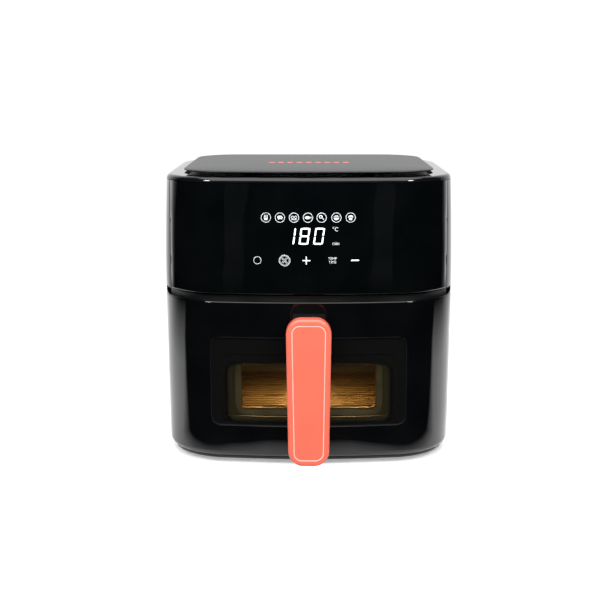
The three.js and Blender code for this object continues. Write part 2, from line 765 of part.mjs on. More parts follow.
// The drawer's inner wall: it closes the front shell from behind and rises as the dark band above it.
function drawerLiner() {
  const bandLow = drawerTop - 6;
  const front = cut(
    bodySolid(drawerBottom + 3 + gap, drawerTop - 4, linerSkinInset),
    bodySolid(drawerBottom, drawerTop, linerSkinInset + 2.4),
  );
  const band = cut(
    bodySolid(bandLow, seamHeight - 1.5, drawerWall + gap),
    bodySolid(bandLow - 1, seamHeight, drawerWall + gap + 6),
  );
  const behind = box([-farOut, splitY - 1, 0], [farOut, farOut, rimHeight]);
  const opening = slab(roundedShape(grown(innerPane, 12)), frontY - 5, frontY + 60, 4);
  const bosses = [-1, 1].map((side) =>
    box([side * bossX - 4, frontY + linerSkinInset + 2, panTop - 32],
        [side * bossX + 4, panFront - gap, panTop - 12]));
  const screwHoles = screwZ.map((z) =>
    rod(2.4, -20, 20, 0, 0, 12).rotate([90, 0, 0]).translate([0, frontY + 10, z]));
  return cut(join(front, band), behind, opening, ...screwHoles).add(join(...bosses).intersect(
    bodySolid(drawerBottom + 3 + gap, drawerTop, linerSkinInset + 1)));
}

function panPlan(inset) {
  return plan({
    halfWidth: panHalfWidth - inset,
    front: panFront + inset,
    back: panRear - inset,
    frontCorner: panCorner - Math.min(inset, panCorner - 4),
    rearCorner: panCorner - Math.min(inset, panCorner - 4),
  }, 6, 4);
}

function panSolid(low, high, inset, floorRadius) {
  const rise = high - low;
  const leanAt = (height) => panDraft * (1 - (height - low) / rise);
  const levels = [0, 0.3, 0.62, 1].map((share) => {
    const angle = share * (Math.PI / 2);
    const height = low + floorRadius * (1 - Math.cos(angle));
    return [height, panPlan(inset + leanAt(height) + floorRadius * (1 - Math.sin(angle)))];
  });
  levels.push([high, panPlan(inset)]);
  return loft(levels);
}

function pan() {
  const outer = panSolid(panFloor, panTop, 0, 12);
  const inner = panSolid(panInsideFloor, panTop + 1, panWall, 12 - panWall);
  const flange = cut(
    loft([[panTop - panWall, panPlan(-panFlange)], [panTop, panPlan(-panFlange)]]),
    loft([[panTop - panWall - 1, panPlan(panWall)], [panTop + 1, panPlan(panWall)]]),
  );
  const opening = slab(roundedShape(innerPane), panFront - 5, panFront + 20, 4);
  const ribs = Array.from({ length: rearRibs.count }, (_, number) => {
    const low = rearRibs.low + number * rearRibs.pitch;
    return box([-62, panRear - panWall - rearRibs.depth - panDraft, low],
      [62, panRear, low + rearRibs.height]);
  });
  return cut(join(cut(outer, inner), flange, join(...ribs).intersect(outer)), opening);
}

function innerWindow() {
  const front = panFront - innerPaneThickness;
  return slab(roundedShape(grown(innerPane, innerFrameWidth - 1.5)), front, panFront, 4);
}

// The pressed frame that clips the inner pane to the pan.
function innerWindowFrame() {
  const pane = grown(innerPane, innerFrameWidth - 1.5 + gap);
  const front = panFront - innerPaneThickness - gap - 1;
  return cut(
    slab(roundedShape(grown(pane, 2.2)), front, panFront, 4),
    slab(roundedShape(pane), front + 1, panFront + 1, 4),
    slab(roundedShape(grown(innerPane, -0.5)), front - 1, panFront + 1, 4),
  );
}

function gripSlab(border, front, back, topBorder = border) {
  const outline = {
    halfWidth: gripTopHalf - border,
    low: gripHigh - grip.length + border,
    high: gripHigh - topBorder,
    corner: grip.corner - border * 0.9,
  };
  return slab(roundedShape(outline, gripBottomHalf - border), front, back, 6);
}

function handleGrip() {
  const front = gripFront;
  const back = gripFront + grip.thickness;
  const bevel = 2;
  const block = join(
    gripSlab(bevel, front, front + bevel + 0.01),
    gripSlab(bevel / 2, front + 0.6, back - 0.6),
    gripSlab(0, front + bevel, back - bevel),
    gripSlab(bevel, back - bevel - 0.01, back),
  );
  const pocket = gripSlab(gripBorder, front - 1, front + coverThickness + gap, gripTopBorder);
  const hollow = gripSlab(gripBorder + 2, front, back - 3, gripTopBorder + 2);
  const screwHoles = screwZ.map((z) =>
    rod(2.2, -30, 30, 0, 0, 12).rotate([90, 0, 0]).translate([0, back, z]));
  return cut(block, pocket, hollow, ...screwHoles);
}

function handleCover() {
  return gripSlab(gripBorder + gap, gripFront + 0.5, gripFront + coverThickness, gripTopBorder + gap);
}

function handleNeck() {
  const back = gripFront + grip.thickness + gap;
  const low = neckLow;
  const high = neckHigh;
  const block = box([-neck.width / 2, back, low], [neck.width / 2, frontY + 8, high])
    .subtract(bodySolid(0, seamHeight, -gap));
  const underside = rod(9, -neck.width, neck.width, 0, 0, 20)
    .rotate([0, 90, 0])
    .translate([0, frontY - 12, low - 3]);
  const screwHoles = screwZ.map((z) =>
    rod(2.2, -40, 40, 0, 0, 12).rotate([90, 0, 0]).translate([0, frontY - 10, z]));
  return cut(block, underside, ...screwHoles);
}

function handleScrew(z) {
  const shank = rod(1.8, gripFront + grip.thickness - 2.5, frontY + 16, 0, 0, 12);
  const head = rod(3.6, frontY + 14.6, frontY + 17.4, 0, 0, 14);
  return join(shank, head).rotate([-90, 0, 0]).translate([0, 0, z]);
}

// ---------------------------------------------------------------- crisper plate

const plateLow = panInsideFloor + plateHeight;
const plateInset = panWall + panDraft + plateClearance;

function crisperPlate() {
  const sheet = loft([[plateLow, panPlan(plateInset)], [plateLow + plateThickness, panPlan(plateInset)]]);
  const { length, width, columns, rows } = plateSlot;
  const pitchX = (2 * (panHalfWidth - plateInset - plateSlotMargin)) / (columns + 0.33);
  const pitchY = (panRear - panFront - 2 * (plateInset + plateSlotMargin)) / (rows + 0.75);
  const slot = solid(new THREE.ExtrudeGeometry(
    roundedShape({ halfWidth: length / 2, low: -width / 2, high: width / 2, corner: width / 2 - 0.1 }),
    { depth: 10, bevelEnabled: false, curveSegments: 1 },
  ));
  const slots = [];
  for (let column = 0; column < columns; column += 1) {
    for (let row = 0; row < rows; row += 1) {
      const x = (column - (columns - 1) / 2) * pitchX;
      const y = cavityCentreY + (row - (rows - 1) / 2) * pitchY;
      slots.push(slot.translate([x, y, plateLow - 4]));
    }
  }
  const holes = bumperPlaces.map(([x, y]) => rod(3.4, plateLow - 1, plateLow + 5, x, y, 12));
  return cut(sheet, ...slots, ...holes);
}

const bumperMargin = 24; // pan's wall to a bumper's middle
const bumperX = panHalfWidth - bumperMargin;
const bumperPlaces = [panFront + bumperMargin, panRear - bumperMargin]
  .flatMap((y) => [[-bumperX, y], [bumperX, y]]);

function bumper(x, y) {
  const low = panInsideFloor + gap;
  return turned([
    [0, low], [bumperRadius - 1, low], [bumperRadius, low + 1.5],
    [bumperRadius, plateLow - gap], [3, plateLow - gap],
    [3, plateLow + plateThickness + gap], [4.4, plateLow + plateThickness + gap + 0.2],
    [3, plateLow + plateThickness + 3], [0, plateLow + plateThickness + 3],
  ], x, y, 14);
}

// ---------------------------------------------------------------- put together

place("housing_shell", housingShell(), glossBlack);
place("base_plate", basePlate(), satinBlack);
["foot_front_left", "foot_front_right", "foot_rear_left", "foot_rear_right"].forEach((name, number) =>
  place(name, foot(...footPlaces[number]), rubber));
place("top_frame", topFrame(), glossBlack);
place("intake_tray", intakeTray(), satinBlack);
place("top_cover", topCover(), lidGrey);
place("control_panel", controlPanel(), glossBlack);
place("control_board", controlBoard(), boardGreen);
place("display_module", displayModule(), whitePlastic);
keyPlaces.forEach((x, number) => place(`touch_spring_${number + 1}`, touchSpring(x), steel));
place("power_board", powerBoard(), boardGreen);
place("relay", relay(), satinBlack);
place("transformer", transformer(), brass);
place("chamber_dish", chamberDish(), steel);
place("heating_element", heatingElement(), steel);
place("element_guard", elementGuard(), steel);
place("motor_bracket", motorBracket(), steel);
place("motor_stator", motorStator(), steel);
place("thermal_cutout", thermalCutout(), whitePlastic);
place("temperature_sensor", temperatureSensor(), steel);
place("cavity_liner", cavityLiner(), steel);
place("cavity_roof", cavityRoof(), satinBlack);
place("rail_left", rail(-1), steel);
place("rail_right", rail(1), steel);
place("lamp_holder", lampHolder(), whitePlastic);
place("lamp_bulb", lampBulb(), clearGlass);
place("lamp_lens", lampLens(), clearGlass);
place("drawer_switch", drawerSwitch(), satinBlack);
place("switch_plunger", switchPlunger(), coral);
place("rear_vent_grille", rearVentGrille(), satinBlack);
place("cord_inlet", cordInlet(), rubber);

place("rotor_shaft", rotorShaft(), steel);
place("convection_fan", bladedFan(convectionFanRadius, convectionFanHeight, 14, 8, 0), steel);
place("cooling_fan", bladedFan(coolingFanRadius, coolingFanLow, 10, 9, 0), satinBlack);
place("fan_nut", fanNut(), steel);

place("drawer_front", drawerFront(), glossBlack);
place("drawer_liner", drawerLiner(), satinBlack);
place("outer_window", outerWindow(), smokedGlass);
place("window_gasket", windowGasket(), silicone);
place("pan", pan(), darkCoat);
place("inner_window", innerWindow(), clearGlass);
place("inner_window_frame", innerWindowFrame(), brass);
place("handle_grip", handleGrip(), coral);
place("handle_cover", handleCover(), coral);
place("handle_neck", handleNeck(), satinBlack);
place("handle_screw_lower", handleScrew(screwZ[0]), steel);
place("handle_screw_upper", handleScrew(screwZ[1]), steel);

place("crisper_plate", crisperPlate(), darkCoat);
["front_left", "front_right", "rear_left", "rear_right"].forEach((corner, number) =>
  place(`bumper_${corner}`, bumper(...bumperPlaces[number]), silicone));

export default model;
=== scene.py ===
"""Looks for a basket air fryer with a viewing window: finishes, lit marks, trims, screws, studio and camera.

Every size is in metres. A length in millimetres is multiplied by MM, or its name or docstring says so.
"""

import json
import logging
import math
from collections.abc import Iterable, Sequence
from dataclasses import dataclass, field
from enum import Enum
from typing import ClassVar

import bmesh
import bpy
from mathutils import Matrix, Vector
from mathutils.bvhtree import BVHTree
from mathutils.geometry import tessellate_polygon

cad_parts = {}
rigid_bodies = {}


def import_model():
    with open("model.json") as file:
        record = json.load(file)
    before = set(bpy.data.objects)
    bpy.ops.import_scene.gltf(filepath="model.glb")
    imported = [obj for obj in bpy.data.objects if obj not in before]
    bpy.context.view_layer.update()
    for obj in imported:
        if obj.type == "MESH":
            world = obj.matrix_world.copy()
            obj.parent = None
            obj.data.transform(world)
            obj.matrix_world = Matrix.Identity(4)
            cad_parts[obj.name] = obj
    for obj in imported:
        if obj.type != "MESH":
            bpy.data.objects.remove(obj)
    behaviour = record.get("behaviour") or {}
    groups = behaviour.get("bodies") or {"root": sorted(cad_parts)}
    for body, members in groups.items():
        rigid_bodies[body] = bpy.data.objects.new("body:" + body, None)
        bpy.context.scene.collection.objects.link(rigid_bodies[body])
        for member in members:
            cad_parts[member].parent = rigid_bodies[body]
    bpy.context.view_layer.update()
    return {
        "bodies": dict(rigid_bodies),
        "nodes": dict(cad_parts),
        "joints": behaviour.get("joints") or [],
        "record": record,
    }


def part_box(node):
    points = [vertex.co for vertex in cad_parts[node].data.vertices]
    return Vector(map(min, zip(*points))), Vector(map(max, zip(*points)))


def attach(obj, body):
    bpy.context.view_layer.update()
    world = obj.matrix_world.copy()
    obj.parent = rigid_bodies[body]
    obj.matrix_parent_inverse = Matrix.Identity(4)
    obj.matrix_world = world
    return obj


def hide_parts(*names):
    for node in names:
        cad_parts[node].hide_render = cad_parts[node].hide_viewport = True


MM = 0.001
log = logging.getLogger("air_fryer")

Point = tuple[float, float]
Loop = list[Point]
Range = tuple[float, float]
Place = Sequence[float]
Tree = bpy.types.NodeTree
Node = bpy.types.Node
Output = bpy.types.NodeSocket
Piece = bpy.types.Object
Mesh = bpy.types.Mesh


# ---------------------------------------------------------------- nodes and colours


def linear(hex_colour: str, alpha: float = 1.0) -> tuple[float, float, float, float]:
    """Turns an sRGB hex colour linear.

    Args:
        hex_colour: six hex digits after a hash sign.
        alpha: the fourth channel.

    Returns:
        Linear red, green and blue, with alpha.
    """
    parts = [int(hex_colour[i : i + 2], 16) / 255 for i in (1, 3, 5)]
    curved = [p / 12.92 if p <= 0.04045 else ((p + 0.055) / 1.055) ** 2.4 for p in parts]
    return (curved[0], curved[1], curved[2], alpha)


def add(tree: Tree, kind: str, values: dict | None = None, links: dict | None = None) -> Node:
    """Adds a node with its settings and links.

    Args:
        tree: the node tree.
        kind: the node's type name.
        values: input defaults by name or number, or the node's own properties.
        links: input name or number to the output that feeds it.

    Returns:
        The new node.
    """
    node = tree.nodes.new(kind)
    for key, value in (values or {}).items():
        if isinstance(key, int) or key in node.inputs:
            node.inputs[key].default_value = value
        else:
            setattr(node, key, value)
    for key, output in (links or {}).items():
        tree.links.new(output, node.inputs[key])
    return node


# ---------------------------------------------------------------- finishes


@dataclass(frozen=True)
class Region:
    """An upright rounded rectangle in millimetres, with the width of its soft edge."""

    half_width: float
    low: float
    high: float
    corner: float
    edge: float = 0.3


# Settings of fractal noise: a slow ripple, a fine grain and a cloudy bloom.
RIPPLE = {"Detail": 1.0}
GRAIN = {"Detail": 3.0}
CLOUD = {"Detail": 4.0}
# The polished bevel round the window, and the field inside it, where the drawer carries a painted reflection.
RECESS = Region(93, 39, 125, 9)


@dataclass(frozen=True)
class Bench:
    """A material under work: its tree, its main shader and its Object coordinates."""

    tree: Tree
    shader: Node
    place: Output

    def feed(self, output: Output, name: str) -> None:
        """Links an output to one of the shader's inputs."""
        self.tree.links.new(output, self.shader.inputs[name])

    def texture(self, kind: str, size_mm: float, values: dict | None = None) -> Node:
        """Adds a texture whose cells have a real size.

        Args:
            kind: the texture node's type name.
            size_mm: width of one cell.
            values: its other settings.

        Returns:
            The texture's node.
        """
        return add(self.tree, kind, {"Scale": 1 / (size_mm * MM), **(values or {})}, {"Vector": self.place})

    def blend(self, factor: Output, low: str, high: str, start: float = 0.35, end: float = 0.65) -> Output:
        """Blends two hex colours over a factor.

        Args:
            factor: what chooses between them.
            low: colour at and below start.
            high: colour at and above end.
            start: factor where the blend begins.
            end: factor where it ends.

        Returns:
            The colour.
        """
        ramp = add(self.tree, "ShaderNodeValToRGB", {}, {"Fac": factor})
        first, last = ramp.color_ramp.elements
        first.position, last.position = start, end
        first.color, last.color = linear(low), linear(high)
        return ramp.outputs["Color"]

    def inside(self, region: Region) -> Output:
        """Gives 1 inside an upright rounded rectangle and 0 outside it.

        Args:
            region: the rectangle.

        Returns:
            The value, which falls softly across the region's edge.
        """
        half_height = (region.high - region.low) / 2
        half = Vector((region.half_width - region.corner, 0, half_height - region.corner)) * MM
        centre = Vector((0, 0, (region.high + region.low) / 2)) * MM
        value = self.place
        for operation, operand in (
            ("SUBTRACT", centre), ("ABSOLUTE", None), ("SUBTRACT", half), ("MAXIMUM", (0, 0, 0)),
            ("MULTIPLY", (1, 0, 1)),
        ):
            settings = {"operation": operation} if operand is None else {"operation": operation, 1: operand}
            value = add(self.tree, "ShaderNodeVectorMath", settings, {0: value}).outputs[0]
        reach = add(self.tree, "ShaderNodeVectorMath", {"operation": "LENGTH"}, {0: value}).outputs["Value"]
        outer, inner = (region.corner + region.edge) * MM, (region.corner - region.edge) * MM
        values = {1: outer, 2: inner, 3: 0.0, 4: 1.0, "interpolation_type": "SMOOTHSTEP"}
        return add(self.tree, "ShaderNodeMapRange", values, {0: reach}).outputs[0]

    def tint(self, factor: Output, colour: str) -> None:
        """Lays a plain colour over the base colour where a factor is 1.

        Args:
            factor: where the colour lies.
            colour: its hex colour.
        """
        plain = self.shader.inputs["Base Color"].links[0].from_socket
        mixed = add(self.tree, "ShaderNodeMix", {"data_type": "RGBA"}, {0: factor, 6: plain})
        mixed.inputs[7].default_value = linear(colour)
        self.feed(mixed.outputs[2], "Base Color")

    def relief(self, height: Output, depth_mm: float) -> None:
        """Feeds a height into the shader's normal.

        Args:
            height: what gives the height.
            depth_mm: how deep full height is.
        """
        values = {"Distance": depth_mm * MM, "Strength": 1.0}
        self.feed(add(self.tree, "ShaderNodeBump", values, {"Height": height}).outputs["Normal"], "Normal")


@dataclass(frozen=True)
class Finish:
    """A surface: its name, main and second colour, and the shader's plain numbers."""

    name: str
    colour: str
    second: str
    roughness: float = 0.4
    metallic: float = 0.0
    ior: float = 1.5
    coat: float = 0.0
    grain_mm: float = 1.0
    bump_mm: float = 0.01
    rough_range: ClassVar[Range] = (0.9, 1.12)

    def material(self) -> bpy.types.Material:
        """Makes the material once, and finds it again after that.

        Returns:
            The material.
        """
        made = bpy.data.materials.get(self.name)
        if made is not None:
            return made
        made = bpy.data.materials.new(self.name)
        made.use_nodes = True
        made.diffuse_color = linear(self.colour)
        shader = made.node_tree.nodes["Principled BSDF"]
        numbers = {
            "Roughness": self.roughness, "Metallic": self.metallic, "IOR": self.ior, "Coat Weight": self.coat,
        }
        for label, value in numbers.items():
            shader.inputs[label].default_value = value
        place = add(made.node_tree, "ShaderNodeTexCoord").outputs["Object"]
        self.pattern(Bench(made.node_tree, shader, place))
        return made

    def uneven(self, on: Bench, factor: Output) -> None:
        """Spreads the roughness over a noise, which stays near its middle, within the finish's own range.

        Args:
            on: the material under work.
            factor: the noise.
        """
        low, high = (share * self.roughness for share in self.rough_range)
        values = {1: 0.3, 2: 0.7, 3: low, 4: high}
        on.feed(add(on.tree, "ShaderNodeMapRange", values, {0: factor}).outputs[0], "Roughness")

    def pattern(self, on: Bench) -> None:
        """Adds the finish's own pattern: here a fine grain in colour, roughness and relief.

        Args:
            on: the material under work.
        """
        grain = on.texture("ShaderNodeTexNoise", self.grain_mm, GRAIN).outputs["Fac"]
        on.feed(on.blend(grain, self.colour, self.second), "Base Color")
        self.uneven(on, grain)
        on.relief(grain, self.bump_mm)


class GlossMoulding(Finish):
    """Polished-mould ABS: a deep mirror gloss with faint flow ripple and handling haze."""

    rough_range: ClassVar[Range] = (0.8, 1.4)
    haze_mm: ClassVar[float] = 38.0

    def pattern(self, on: Bench) -> None:
        """Adds haze some centimetres across and a shallow moulding ripple.

        Args:
            on: the material under work.
        """
        haze = on.texture("ShaderNodeTexNoise", self.haze_mm, CLOUD).outputs["Fac"]
        on.feed(on.blend(haze, self.colour, self.second), "Base Color")
        self.uneven(on, haze)
        on.relief(on.texture("ShaderNodeTexNoise", self.grain_mm, RIPPLE).outputs["Fac"], self.bump_mm)


@dataclass(frozen=True)
class TintAndPaintedSheenMoulding(GlossMoulding):
    """Moulded ABS with a field of another colour inside a rounded rectangle: on the drawer a painted
    reflection, a shade lighter than the black round it; on the liner an olive tint.
    """

    # On the drawer this colour is a painted reflection, a shade lighter than the black; on the liner it is an
    # olive tint.
    tint_and_painted_sheen: str = "#0d0e0d"
    region: Region = RECESS

    def pattern(self, on: Bench) -> None:
        """Adds the field's colour inside the rectangle over the moulding: a painted reflection on the drawer,
        an olive tint on the liner.

        Args:
            on: the material under work.
        """
        super().pattern(on)
        # Inside the region: a painted reflection on the drawer, an olive tint on the liner.
        on.tint(on.inside(self.region), self.tint_and_painted_sheen)


class BrushedSheet(Finish):
    """Rolled sheet steel: metal with fine lines along X and a cloudy zinc bloom."""

    rough_range: ClassVar[Range] = (0.8, 1.3)
    stretch: ClassVar[float] = 0.03
    bloom_mm: ClassVar[float] = 14.0

    def pattern(self, on: Bench) -> None:
        """Adds rolling lines and the bloom.

        Args:
            on: the material under work.
        """
        fine = 1 / (self.grain_mm * MM)
        scale = (fine * self.stretch, fine, fine)
        lines_at = add(on.tree, "ShaderNodeMapping", {"Scale": scale}, {"Vector": on.place}).outputs[0]
        values = {"Scale": 1.0, "Detail": 2.0}
        lines = add(on.tree, "ShaderNodeTexNoise", values, {"Vector": lines_at}).outputs["Fac"]
        bloom = on.texture("ShaderNodeTexNoise", self.bloom_mm, CLOUD).outputs["Fac"]
        on.feed(on.blend(bloom, self.colour, self.second), "Base Color")
        self.uneven(on, lines)
        on.relief(lines, self.bump_mm)


class NonStickCoat(Finish):
    """Sprayed non-stick over steel: dark, softly shiny, with pale mineral flecks."""

    rough_range: ClassVar[Range] = (0.8, 1.25)
    fleck_mm: ClassVar[float] = 1.4
    fleck_edge: ClassVar[Range] = (0.05, 0.16)

    def pattern(self, on: Bench) -> None:
        """Adds flecks about a millimetre apart and an uneven spray.

        Args:
            on: the material under work.
        """
        flecks = on.texture("ShaderNodeTexVoronoi", self.fleck_mm).outputs["Distance"]
        spray = on.texture("ShaderNodeTexNoise", self.grain_mm, GRAIN).outputs["Fac"]
        on.feed(on.blend(flecks, self.second, self.colour, *self.fleck_edge), "Base Color")
        self.uneven(on, spray)
        on.relief(spray, self.bump_mm)


@dataclass(frozen=True)
class TintedPane(Finish):
    """Glass that lets part of the light through, with a hair of surface haze."""

    opacity: float = 0.3
    rough_range: ClassVar[Range] = (1.0, 1.6)
    haze_mm: ClassVar[float] = 25.0

    def pattern(self, on: Bench) -> None:
        """Adds the tint, a faint haze and the part of the light that the pane stops.

        Args:
            on: the material under work.
        """
        haze = on.texture("ShaderNodeTexNoise", self.haze_mm, GRAIN).outputs["Fac"]
        on.feed(on.blend(haze, self.colour, self.second), "Base Color")
        self.uneven(on, haze)
        on.shader.inputs["Alpha"].default_value = self.opacity


@dataclass(frozen=True)
class MaskedPane(TintedPane):
    """Smoked glass with a black ceramic mask fired round a clear field, dotted out softly at its edge."""

    mask: str = "#0d0e0d"
    clear: Region = Region(78, 42, 99, 8, 3.0)

    def pattern(self, on: Bench) -> None:
        """Adds the mask as opacity over the pane's own coordinates.

        Args:
            on: the material under work.
        """
        super().pattern(on)
        inside = on.inside(self.clear)
        values = {1: 1.0, 2: 0.0, 3: self.opacity, 4: 1.0}
        on.feed(add(on.tree, "ShaderNodeMapRange", values, {0: inside}).outputs[0], "Alpha")
        masked = add(on.tree, "ShaderNodeMath", {"operation": "SUBTRACT", 0: 1.0}, {1: inside}).outputs[0]
        on.tint(masked, self.mask)


@dataclass(frozen=True)
class LitInk(Finish):
    """White mark lit from behind: an even glow with the slight mottle of a diffuser."""

    glow: float = 1.0

    def pattern(self, on: Bench) -> None:
        """Adds the mottled glow.

        Args:
            on: the material under work.
        """
        mottle = on.texture("ShaderNodeTexNoise", self.grain_mm, GRAIN).outputs["Fac"]
        colour = on.blend(mottle, self.colour, self.second)
        on.feed(colour, "Base Color")
        on.feed(colour, "Emission Color")
        on.shader.inputs["Emission Strength"].default_value = self.glow


class Laminate(Finish):
    """Glass-fibre circuit board: green lacquer over darker copper tracks."""

    track_mm: ClassVar[float] = 9.0

    def pattern(self, on: Bench) -> None:
        """Adds tracks a few millimetres apart.

        Args:
            on: the material under work.
        """
        lacquer = linear(self.colour)
        tracks = on.texture("ShaderNodeTexBrick", self.track_mm, {
            "Mortar Size": 0.05, "Color1": lacquer, "Color2": lacquer, "Mortar": linear(self.second),
        })
        on.feed(tracks.outputs["Color"], "Base Color")
        on.relief(on.texture("ShaderNodeTexNoise", self.grain_mm, GRAIN).outputs["Fac"], self.bump_mm)


class Winding(Finish):
    """Lacquered copper wire wound in close turns, seen as fine bands."""

    turn_scale: ClassVar[float] = 0.314

    def pattern(self, on: Bench) -> None:
        """Adds bands one wire wide.

        Args:
            on: the material under work.
        """
        bands = add(on.tree, "ShaderNodeTexWave", {
            "bands_direction": "Y", "Scale": self.turn_scale / (self.grain_mm * MM), "Distortion": 0.3,
        }, {"Vector": on.place}).outputs["Fac"]
        on.feed(on.blend(bands, self.colour, self.second), "Base Color")
        on.relief(bands, self.bump_mm)


# ABS from polished moulds: near black, with mirror reflections that ripple a little across the shell.
BLACK_GLOSS = GlossMoulding("piano_black_abs", "#050607", "#08090a", 0.035, grain_mm=26, bump_mm=0.006)
# The same ABS on the drawer, with a painted reflection inside the recess: the field there is painted a shade
# lighter than the black round it.
DRAWER_GLOSS = TintAndPaintedSheenMoulding("drawer_black_abs", "#050607", "#08090a", 0.035, grain_mm=26, bump_mm=0.006)
# Satin ABS behind the panes, with an olive field that gives the window its dim bronze surround.
LINER_SATIN = TintAndPaintedSheenMoulding("liner_satin_abs", "#0d0e0e", "#121212", 0.5, grain_mm=3, bump_mm=0.01,
                             tint_and_painted_sheen="#3d3a26", region=Region(84, 40, 110, 6))
# Cast acrylic: the flattest and clearest gloss, so the panel reads as one dark sheet.
PANEL_GLOSS = GlossMoulding("panel_acrylic", "#030506", "#060809", 0.025, grain_mm=34, bump_mm=0.004)
# Moulded ABS rim: a slightly softer gloss, which spreads its edge highlight.
RIM_GLOSS = GlossMoulding("rim_gloss_abs", "#08090a", "#0c0d0e", 0.06, grain_mm=20, bump_mm=0.006)
# Fine spark-eroded texture: the lid reads grey and matt beside the gloss.
LID_SATIN = Finish("lid_fine_textured_abs", "#242527", "#2a2b2d", grain_mm=0.9, bump_mm=0.012)
# Plain satin moulding for frames and holders: dark, with a soft sheen.
SATIN = Finish("satin_abs", "#0b0c0d", "#101112", 0.42, grain_mm=0.8, bump_mm=0.02)
# Through-coloured coral ABS with a light clear coat: an even warm colour and soft highlights.
CORAL = GlossMoulding("coral_abs", "#f6715b", "#f8735d", 0.2, grain_mm=18, bump_mm=0.003, coat=0.2)
# The polished lip round the handle's cover, painted pale as a highlight: a thin, pale line.
CORAL_HIGHLIGHT_BEAD = GlossMoulding("coral_polished_bead", "#ffc9bc", "#ffd2c6", 0.1, grain_mm=9, bump_mm=0.003)
# Moulded rubber feet: matt, dark and slightly grainy.
RUBBER = Finish("foot_rubber", "#1b1b1b", "#242424", 0.8, grain_mm=0.7, bump_mm=0.04)
# Moulded silicone bumpers: matt, dark grey.
SILICONE = Finish("silicone", "#242628", "#2c2e30", 0.6, grain_mm=1.2, bump_mm=0.02)
# Tinted silicone seal: matt olive, which carries the window's surround to its edge.
GASKET_OLIVE = Finish("olive_silicone", "#3d3a26", "#434029", 0.6, grain_mm=1.2, bump_mm=0.02)
# Sprayed non-stick on the pan: olive bronze with a soft shine and pale flecks.
PAN_COAT = NonStickCoat("pan_bronze_non_stick", "#5e563e", "#726848", 0.36, 0.2, grain_mm=1.6, bump_mm=0.03)
# The plate's coat holds more metal flake, so its ridges catch warm light.
PLATE_COAT = NonStickCoat("plate_bronze_non_stick", "#7c6840", "#98804e", 0.3, 0.45, grain_mm=2.0,
                          bump_mm=0.03)
# Zinc-dipped rolled sheet: pale metal with rolling lines and a cloudy bloom.
SHEET = BrushedSheet("galvanised_sheet", "#a9acae", "#bfc2c4", 0.36, 1.0, grain_mm=0.35)
# Drawn steel sheath, browned by heat.
SHEATH = BrushedSheet("heat_stained_sheath", "#4c4643", "#6b5f58", metallic=1.0, grain_mm=0.5)
# Drawn and nickel-plated wire: bright and almost smooth.
WIRE = BrushedSheet("plated_wire", "#c9cccf", "#dadcde", 0.2, 1.0, grain_mm=0.3, bump_mm=0.004)
# Lathe-turned steel: fine lines and a firm highlight.
TURNED = BrushedSheet("turned_steel", "#b4b6b8", "#cbcdce", 0.28, 1.0, grain_mm=0.2, bump_mm=0.006)
# Pressed aluminium: the palest metal, softly shiny.
ALUMINIUM = BrushedSheet("pressed_aluminium", "#d2d4d6", "#e2e4e6", 0.3, 1.0, grain_mm=0.4)
# Lacquered steel frame: a dull bronze edge round the inner pane.
BRONZE = BrushedSheet("bronzed_frame", "#5c543c", "#686044", metallic=0.3, grain_mm=0.4, bump_mm=0.006)
# Polished bevel round the recess, painted grey as a highlight: a thin grey line in the black. Its gloss also
# catches the side lights.
RECESS_HIGHLIGHT_BEAD = Finish("recess_bevel_abs", "#15171a", "#1a1c1f", 0.12, bump_mm=0.002)
# Anodised trim: a warm, bright line.
GOLD = BrushedSheet("gold_trim", "#eac078", "#f6d490", 0.25, 0.5, grain_mm=0.4, bump_mm=0.003)
# Lacquered glass-fibre laminate: green with tracks.
BOARD = Laminate("board_laminate", "#1c5a34", "#2f7a4a", 0.35, grain_mm=1.5)
# Moulded PBT for relay and lamp holder: ivory and slightly glossy.
WHITE_PLASTIC = Finish("white_pbt", "#e2dfd6", "#ebe8e0", 0.45)
# Wound enamelled copper: warm bands of wire.
COPPER = Winding("copper_winding", "#8a4a1e", "#c27a3a", 0.35, 0.8, grain_mm=0.8, bump_mm=0.2)
# Moulded acetal plunger: a waxy red.
PLUNGER = Finish("red_acetal", "#b0392a", "#bb4334", 0.3)
# Smoked tempered glass with a fired mask: a black border round a dim clear field.
OUTER_GLASS = MaskedPane("smoked_masked_glass", "#060604", "#080805", 0.03, opacity=0.3)
# Tempered inner glass: it dims the inside of the pan a little.
INNER_GLASS = TintedPane("clear_glass", "#0a0906", "#0c0b08", 0.04, opacity=0.38)
# Blown glass round the lamp: warm and mostly clear.
LAMP_GLASS = TintedPane("lamp_glass", "#fff1d8", "#fff6e6", 0.08, opacity=0.35)
# Screen-printed windows over bright light pipes: crisp white digits and keys.
DIGIT_INK = LitInk("lit_digit", "#ffffff", "#f4f8ff", 0.5, grain_mm=2.0, glow=0.9)
# The same print over dim light: greyer programme marks.
MARK_INK = LitInk("lit_mark", "#e6eaee", "#d6dade", 0.5, grain_mm=1.5, glow=0.24)
# Pad-printed ink on the lid: a flat, slightly glossy red.
RED_PRINT = Finish("red_print", "#c23a34", "#d0443c", 0.35, bump_mm=0.005)

